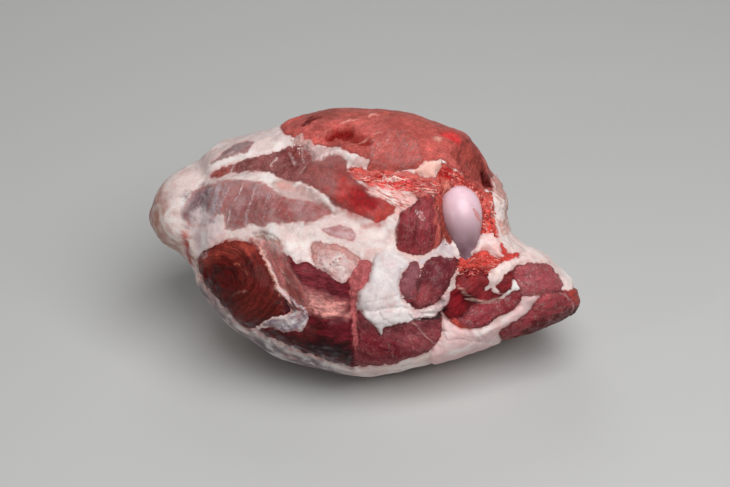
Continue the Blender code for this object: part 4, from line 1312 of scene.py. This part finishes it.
strandSets = {
    "raggedTop": {
        "edge": ((348, 168), (372, 170), (404, 174), (438, 182), (440, 194), (414, 192), (384, 187),
                 (358, 180)),
        "count": 120, "length": (3, 8), "width": (0.16, 0.34), "way": -6, "spread": 30, "lift": 0.6,
        "tones": ((244, 200, 188), (226, 66, 60), (196, 58, 52), (238, 132, 118)),
    },
    "underTissue": {
        "edge": ((366, 186), (390, 186), (416, 194), (410, 204), (398, 208), (384, 198), (374, 193)),
        "count": 46, "length": (3, 9), "width": (0.15, 0.3), "way": -24, "spread": 16, "lift": 0.5,
        "tones": ((250, 220, 210), (244, 196, 184), (226, 112, 100)),
    },
    "ballSide": {
        "edge": ((434, 188), (443, 186), (447, 200), (446, 222), (448, 240), (442, 240), (439, 216)),
        "count": 40, "length": (2, 5), "width": (0.15, 0.34), "way": -82, "spread": 26, "lift": 0.5,
        "tones": ((176, 80, 72), (206, 124, 112), (146, 56, 52)),
    },
    "hip": {
        "edge": ((444, 166), (460, 174), (480, 188), (492, 204), (497, 236), (486, 234), (482, 214),
                 (470, 196), (452, 186), (440, 182)),
        "count": 90, "length": (2, 5), "width": (0.3, 0.7), "way": -50, "spread": 34, "lift": 0.5,
        "tones": ((206, 84, 76), (226, 134, 122), (174, 56, 50), (214, 96, 86)),
    },
    "pocket": {
        "edge": ((458, 262), (476, 256), (500, 256), (508, 256), (496, 266), (486, 276), (460, 276)),
        "count": 56, "length": (2, 6), "width": (0.18, 0.42), "way": 14, "spread": 34, "lift": 0.6,
        "tones": ((218, 86, 78), (232, 150, 138), (172, 52, 48), (226, 104, 92)),
    },
    "shinHairs": {
        "edge": ((222, 182), (252, 182), (284, 196), (312, 204), (300, 214), (262, 218), (232, 222),
                 (216, 214)),
        "count": 16, "length": (6, 18), "width": (0.06, 0.12), "way": 66, "spread": 12, "lift": 0.0,
        "tones": ((192, 164, 162), (180, 142, 140)),
    },
}
crumbSets = {
    "hip": {
        "edge": ((446, 170), (462, 178), (482, 192), (494, 214), (497, 236), (486, 234), (480, 214),
                 (466, 196), (450, 184)),
        "count": 110, "size": (0.6, 1.8), "tones": ((208, 88, 78), (230, 142, 130), (176, 56, 50)),
    },
    "raggedTop": {
        "edge": ((352, 170), (392, 174), (438, 184), (440, 194), (410, 190), (368, 182)),
        "count": 50, "size": (0.4, 1.1), "tones": ((226, 104, 94), (240, 168, 154), (200, 54, 50)),
    },
    "pocketTop": {
        "edge": ((458, 262), (474, 254), (500, 254), (512, 254), (496, 266), (480, 274), (462, 274)),
        "count": 46, "size": (0.5, 1.2), "tones": ((216, 78, 68), (232, 126, 114), (178, 50, 46)),
    },
    "stripWhite": {
        "edge": ((288, 140), (306, 138), (314, 150), (306, 158), (294, 150)),
        "count": 22, "size": (0.4, 1.1), "tones": ((232, 206, 200), (214, 172, 166)),
    },
    "pinkLumps": {
        "edge": ((318, 248), (340, 250), (356, 262), (350, 276), (332, 276), (318, 264)),
        "count": 26, "size": (0.5, 1.4), "tones": ((230, 196, 190), (212, 138, 128)),
    },
}
scatterSeed = 7
strandInputs = {"Wiggle": 0.0009, "Noise Scale": 420.0, "Width": 1.0, "Seed": scatterSeed}
crumbInputs = {"Wiggle": 0.0009, "Noise Scale": 900.0, "Seed": scatterSeed}
strandSides = 6
crumbStretch = (1.3, 0.9, 0.7)
anyTurn = (6.28, 6.28, 6.28)
tissueLook = {
    "roughness": 0.3,
    "scatter": 0.12,
    "scatterSpread": (1.0, 0.42, 0.34),
    "scatterReach": 0.001,
    "shine": 0.5,
    "coat": 0.2,
    "coatRoughness": 0.12,
    "bump": 0.3,
    "bumpHeight": 0.0004,
}


def skinTree():
    # the skin's points that the camera sees, to be found by their place on the picture
    place = pictureOf(skinPoints)
    facing = np.flatnonzero(leanNormals[:len(skinPoints)] @ lookAlong < -0.1)
    tree = kdtree.KDTree(len(facing))
    for k in facing:
        tree.insert((place[k, 0], place[k, 1], 0), int(k))
    tree.balance()
    return tree


def onSkin(tree, places):
    # the skin's points behind places of the picture, and the way the skin faces there
    points, facing = [], []
    for x, y in places:
        near = tree.find_n((x, y, 0), 3)
        share = np.array([1 / (far + 0.05) for _, _, far in near])
        share /= share.sum()
        which = [k for _, k, _ in near]
        points.append(share @ skinPoints[which])
        facing.append(share @ leanNormals[which])
    return np.array(points), np.array(facing)


def placesInside(random, edge, count):
    edge = np.array(edge, float)
    low, high = edge.min(0), edge.max(0)
    found = np.empty((0, 2))
    while len(found) < count:
        tries = low + random.random((count * 4, 2)) * (high - low)
        found = np.concatenate((found, tries[insideDistance(edge, tries) > 0]))
    return found[:count]


def strandLines(tree):
    random = np.random.default_rng(scatterSeed)
    points, widths, inks, edges = [], [], [], []
    steps = 9
    share = np.linspace(0, 1, steps)
    for look in strandSets.values():
        for start in placesInside(random, look["edge"], look["count"]):
            way = math.radians(look["way"] + random.uniform(-1, 1) * look["spread"])
            length = random.uniform(*look["length"]) / cameraLook["mmPerPixel"]
            along = np.array((math.cos(way), -math.sin(way)))
            across = np.array((along[1], -along[0])) * random.uniform(-0.3, 0.3)
            bow = (share * (1 - share))[:, None] * across
            line = start + length * ((share - 0.5)[:, None] * along + bow)
            skin, facing = onSkin(tree, line)
            rise = look["lift"] * random.uniform(0.1, 1) * np.sin(share * math.pi) - 0.1
            half = random.uniform(*look["width"])
            first = len(points)
            points += list(skin + facing * rise[:, None])
            widths += list(half * (0.25 + 0.75 * np.sin(share * math.pi) ** 0.6))
            inks += [tone(*look["tones"][random.integers(len(look["tones"]))])] * steps
            edges += [(first + k, first + k + 1) for k in range(steps - 1)]
    return points, widths, inks, edges


def crumbSpots(tree):
    random = np.random.default_rng(scatterSeed + 1)
    points, sizes, inks = [], [], []
    for look in crumbSets.values():
        skin, facing = onSkin(tree, placesInside(random, look["edge"], look["count"]))
        points += list(skin + facing * 0.15)
        sizes += list(random.uniform(*look["size"], look["count"]) * 0.5)
        inks += [tone(*look["tones"][random.integers(len(look["tones"]))]) for _ in range(look["count"])]
    return points, sizes, inks


class GeometryNodes(NodeTree):
    # a node group between a Geometry input and output, with the numbers in inputs as named inputs
    def __init__(self, name, inputs):
        self.tree = bpy.data.node_groups.new(name, "GeometryNodeTree")
        self.inputs = inputs
        sockets = self.tree.interface
        sockets.new_socket("Geometry", in_out="INPUT", socket_type="NodeSocketGeometry")
        for key, value in inputs.items():
            kind = "NodeSocketInt" if isinstance(value, int) else "NodeSocketFloat"
            sockets.new_socket(key, in_out="INPUT", socket_type=kind)
        sockets.new_socket("Geometry", in_out="OUTPUT", socket_type="NodeSocketGeometry")
        self.start = self.tree.nodes.new("NodeGroupInput").outputs
        self.end = self.tree.nodes.new("NodeGroupOutput").inputs

    def named(self, name):
        return self.put("GeometryNodeInputNamedAttribute", {"Name": name}, data_type="FLOAT")

    def jitter(self, geometry):
        # pushes points about by a smooth noise
        links = {"W": self.start["Seed"], "Scale": self.start["Noise Scale"]}
        cloud = self.put("ShaderNodeTexNoise", links, 1, noise_dimensions="4D")
        centred = self.put("ShaderNodeVectorMath", {0: cloud, 1: (0.5, 0.5, 0.5)}, operation="SUBTRACT")
        offset = self.put("ShaderNodeVectorMath", {0: centred, "Scale": self.start["Wiggle"]},
                          operation="SCALE")
        return self.put("GeometryNodeSetPosition", {"Geometry": geometry, "Offset": offset})

    def finish(self, geometry, material):
        whole = self.put("GeometryNodeRealizeInstances", {"Geometry": geometry})
        done = self.put("GeometryNodeSetMaterial", {"Geometry": whole, "Material": material})
        self.tree.links.new(done, self.end["Geometry"])

    def apply(self, name, mesh):
        thing = bpy.data.objects.new(name, mesh)
        bpy.context.scene.collection.objects.link(thing)
        modifier = thing.modifiers.new(name, "NODES")
        modifier.node_group = self.tree
        for item in self.tree.interface.items_tree:
            if item.name in self.inputs:
                modifier[item.identifier] = self.inputs[item.name]
        result = bpy.data.meshes.new_from_object(thing.evaluated_get(bpy.context.evaluated_depsgraph_get()))
        bpy.data.objects.remove(thing)
        result.name = name
        return result


def tissueFinish(look):
    n = Finish("tissueFinish")
    place = n.put("ShaderNodeTexCoord", output="Object")
    fine = n.noise(place, 1200, 3, 0.6)
    broad = n.noise(place, 300, 3, 0.6)
    light = n.math("MULTIPLY", n.span(fine, 0.3, 0.7, 0.82, 1.16), n.span(broad, 0.3, 0.7, 0.8, 1.15))
    colour = n.shade(n.attribute("ink", "Color"), light)
    return n.done(look, colour, n.about(fine, look["roughness"], 0.04, 0.1), fine)


def spotMesh(name, points, edges, sizeName, sizes, inks):
    mesh = bpy.data.meshes.new(name)
    mesh.from_pydata([tuple(p * mm) for p in points], edges, [])
    addAttribute(mesh, sizeName, np.array(sizes, np.float32) * mm)
    addAttribute(mesh, "ink", inks)
    return mesh


def buildStrands(tree, finish):
    points, widths, inks, edges = strandLines(tree)
    n = GeometryNodes("strandTubes", strandInputs)
    curve = n.put("GeometryNodeMeshToCurve", {"Mesh": n.jitter(n.start["Geometry"])})
    half = n.put("ShaderNodeMath", {0: n.named("width"), 1: n.start["Width"]}, operation="MULTIPLY")
    ring = n.put("GeometryNodeCurvePrimitiveCircle", {"Resolution": strandSides, "Radius": 1.0})
    tube = n.put("GeometryNodeCurveToMesh", {"Curve": curve, "Profile Curve": ring, "Scale": half,
                                             "Fill Caps": True})
    n.finish(tube, finish)
    return n.apply("tornStrands", spotMesh("strandLines", points, edges, "width", widths, inks))


def buildCrumbs(tree, finish):
    points, sizes, inks = crumbSpots(tree)
    n = GeometryNodes("crumbs", crumbInputs)
    ball = n.put("GeometryNodeMeshIcoSphere", {"Radius": 1.0, "Subdivisions": 3})
    turn = n.put("FunctionNodeRandomValue", {0: (0, 0, 0), 1: anyTurn, "Seed": n.start["Seed"]},
                 data_type="FLOAT_VECTOR")
    flat = n.put("ShaderNodeVectorMath", {0: n.named("size"), 1: crumbStretch}, operation="MULTIPLY")
    spots = n.put("GeometryNodeInstanceOnPoints", {
        "Points": n.put("GeometryNodeMeshToPoints", {"Mesh": n.start["Geometry"]}),
        "Instance": ball, "Rotation": turn, "Scale": flat,
    })
    n.finish(n.jitter(n.put("GeometryNodeRealizeInstances", {"Geometry": spots})), finish)
    return n.apply("tissueCrumbs", spotMesh("crumbSpots", points, [], "size", sizes, inks))


tissue = tissueFinish(tissueLook)
tree = skinTree()
strandMesh = buildStrands(tree, tissue)
addPiece("tornStrands", strandMesh, None, "raw_lean")
crumbMesh = buildCrumbs(tree, tissue)
addPiece("tissueCrumbs", crumbMesh, None, "raw_lean")
print("strands and crumbs:", len(strandMesh.polygons), len(crumbMesh.polygons), "faces")


# camera, floor and light

stageLook = {
    "floorColour": (0.54, 0.54, 0.53, 1),
    "floorRoughness": 0.8,
    "floorSize": 6,
    "skyColour": (0.8, 0.82, 0.86, 1),
    "skyStrength": 0.10,
    "lightsAimAt": (0, 0, 0.06),
}
# place in metres, watts, size in metres
stageLights = {
    "keyLight": ((0.3, -0.5, 1.1), 16.5, 1.1),
    "sideLight": ((-0.85, -0.80, 0.62), 1.1, 0.12),
    "backLight": ((-0.2, 1.0, 0.9), 2.6, 0.7),
}


def towards(way):
    return Vector(way).to_track_quat("-Z", "Y").to_euler()


def buildStage():
    scene, look = bpy.context.scene, stageLook
    camera = bpy.data.objects.new("camera", bpy.data.cameras.new("camera"))
    scene.collection.objects.link(camera)
    camera.location = Vector(faceMiddle * mm) - Vector(lookAlong) * cameraLook["distance"] * mm
    camera.rotation_euler = towards(lookAlong)
    camera.data.sensor_width = cameraLook["sensor"]
    shownWidth = cameraLook["pictureWidth"] * cameraLook["mmPerPixel"]
    camera.data.lens = cameraLook["sensor"] * cameraLook["distance"] / shownWidth
    camera.data.clip_start, camera.data.clip_end = 0.05, 20
    scene.camera = camera

    # just under the meat, so that the two don't flicker where they touch
    bpy.ops.mesh.primitive_plane_add(size=look["floorSize"], location=(0, 0, -0.0002))
    floor = bpy.context.active_object
    floor.name = "floor"
    n = Finish("floorFinish")
    n.shader.inputs["Base Color"].default_value = look["floorColour"]
    n.shader.inputs["Roughness"].default_value = look["floorRoughness"]
    floor.data.materials.append(n.material)

    for name, (place, energy, size) in stageLights.items():
        lamp = bpy.data.lights.new(name, "AREA")
        lamp.energy, lamp.size = energy, size
        thing = bpy.data.objects.new(name, lamp)
        thing.location = place
        thing.rotation_euler = towards(Vector(look["lightsAimAt"]) - Vector(place))
        scene.collection.objects.link(thing)

    world = bpy.data.worlds.new("world")
    world.use_nodes = True
    background = world.node_tree.nodes["Background"].inputs
    background["Color"].default_value = look["skyColour"]
    background["Strength"].default_value = look["skyStrength"]
    scene.world = world
    scene.view_settings.view_transform = "Standard"


buildStage()
print("stage done")
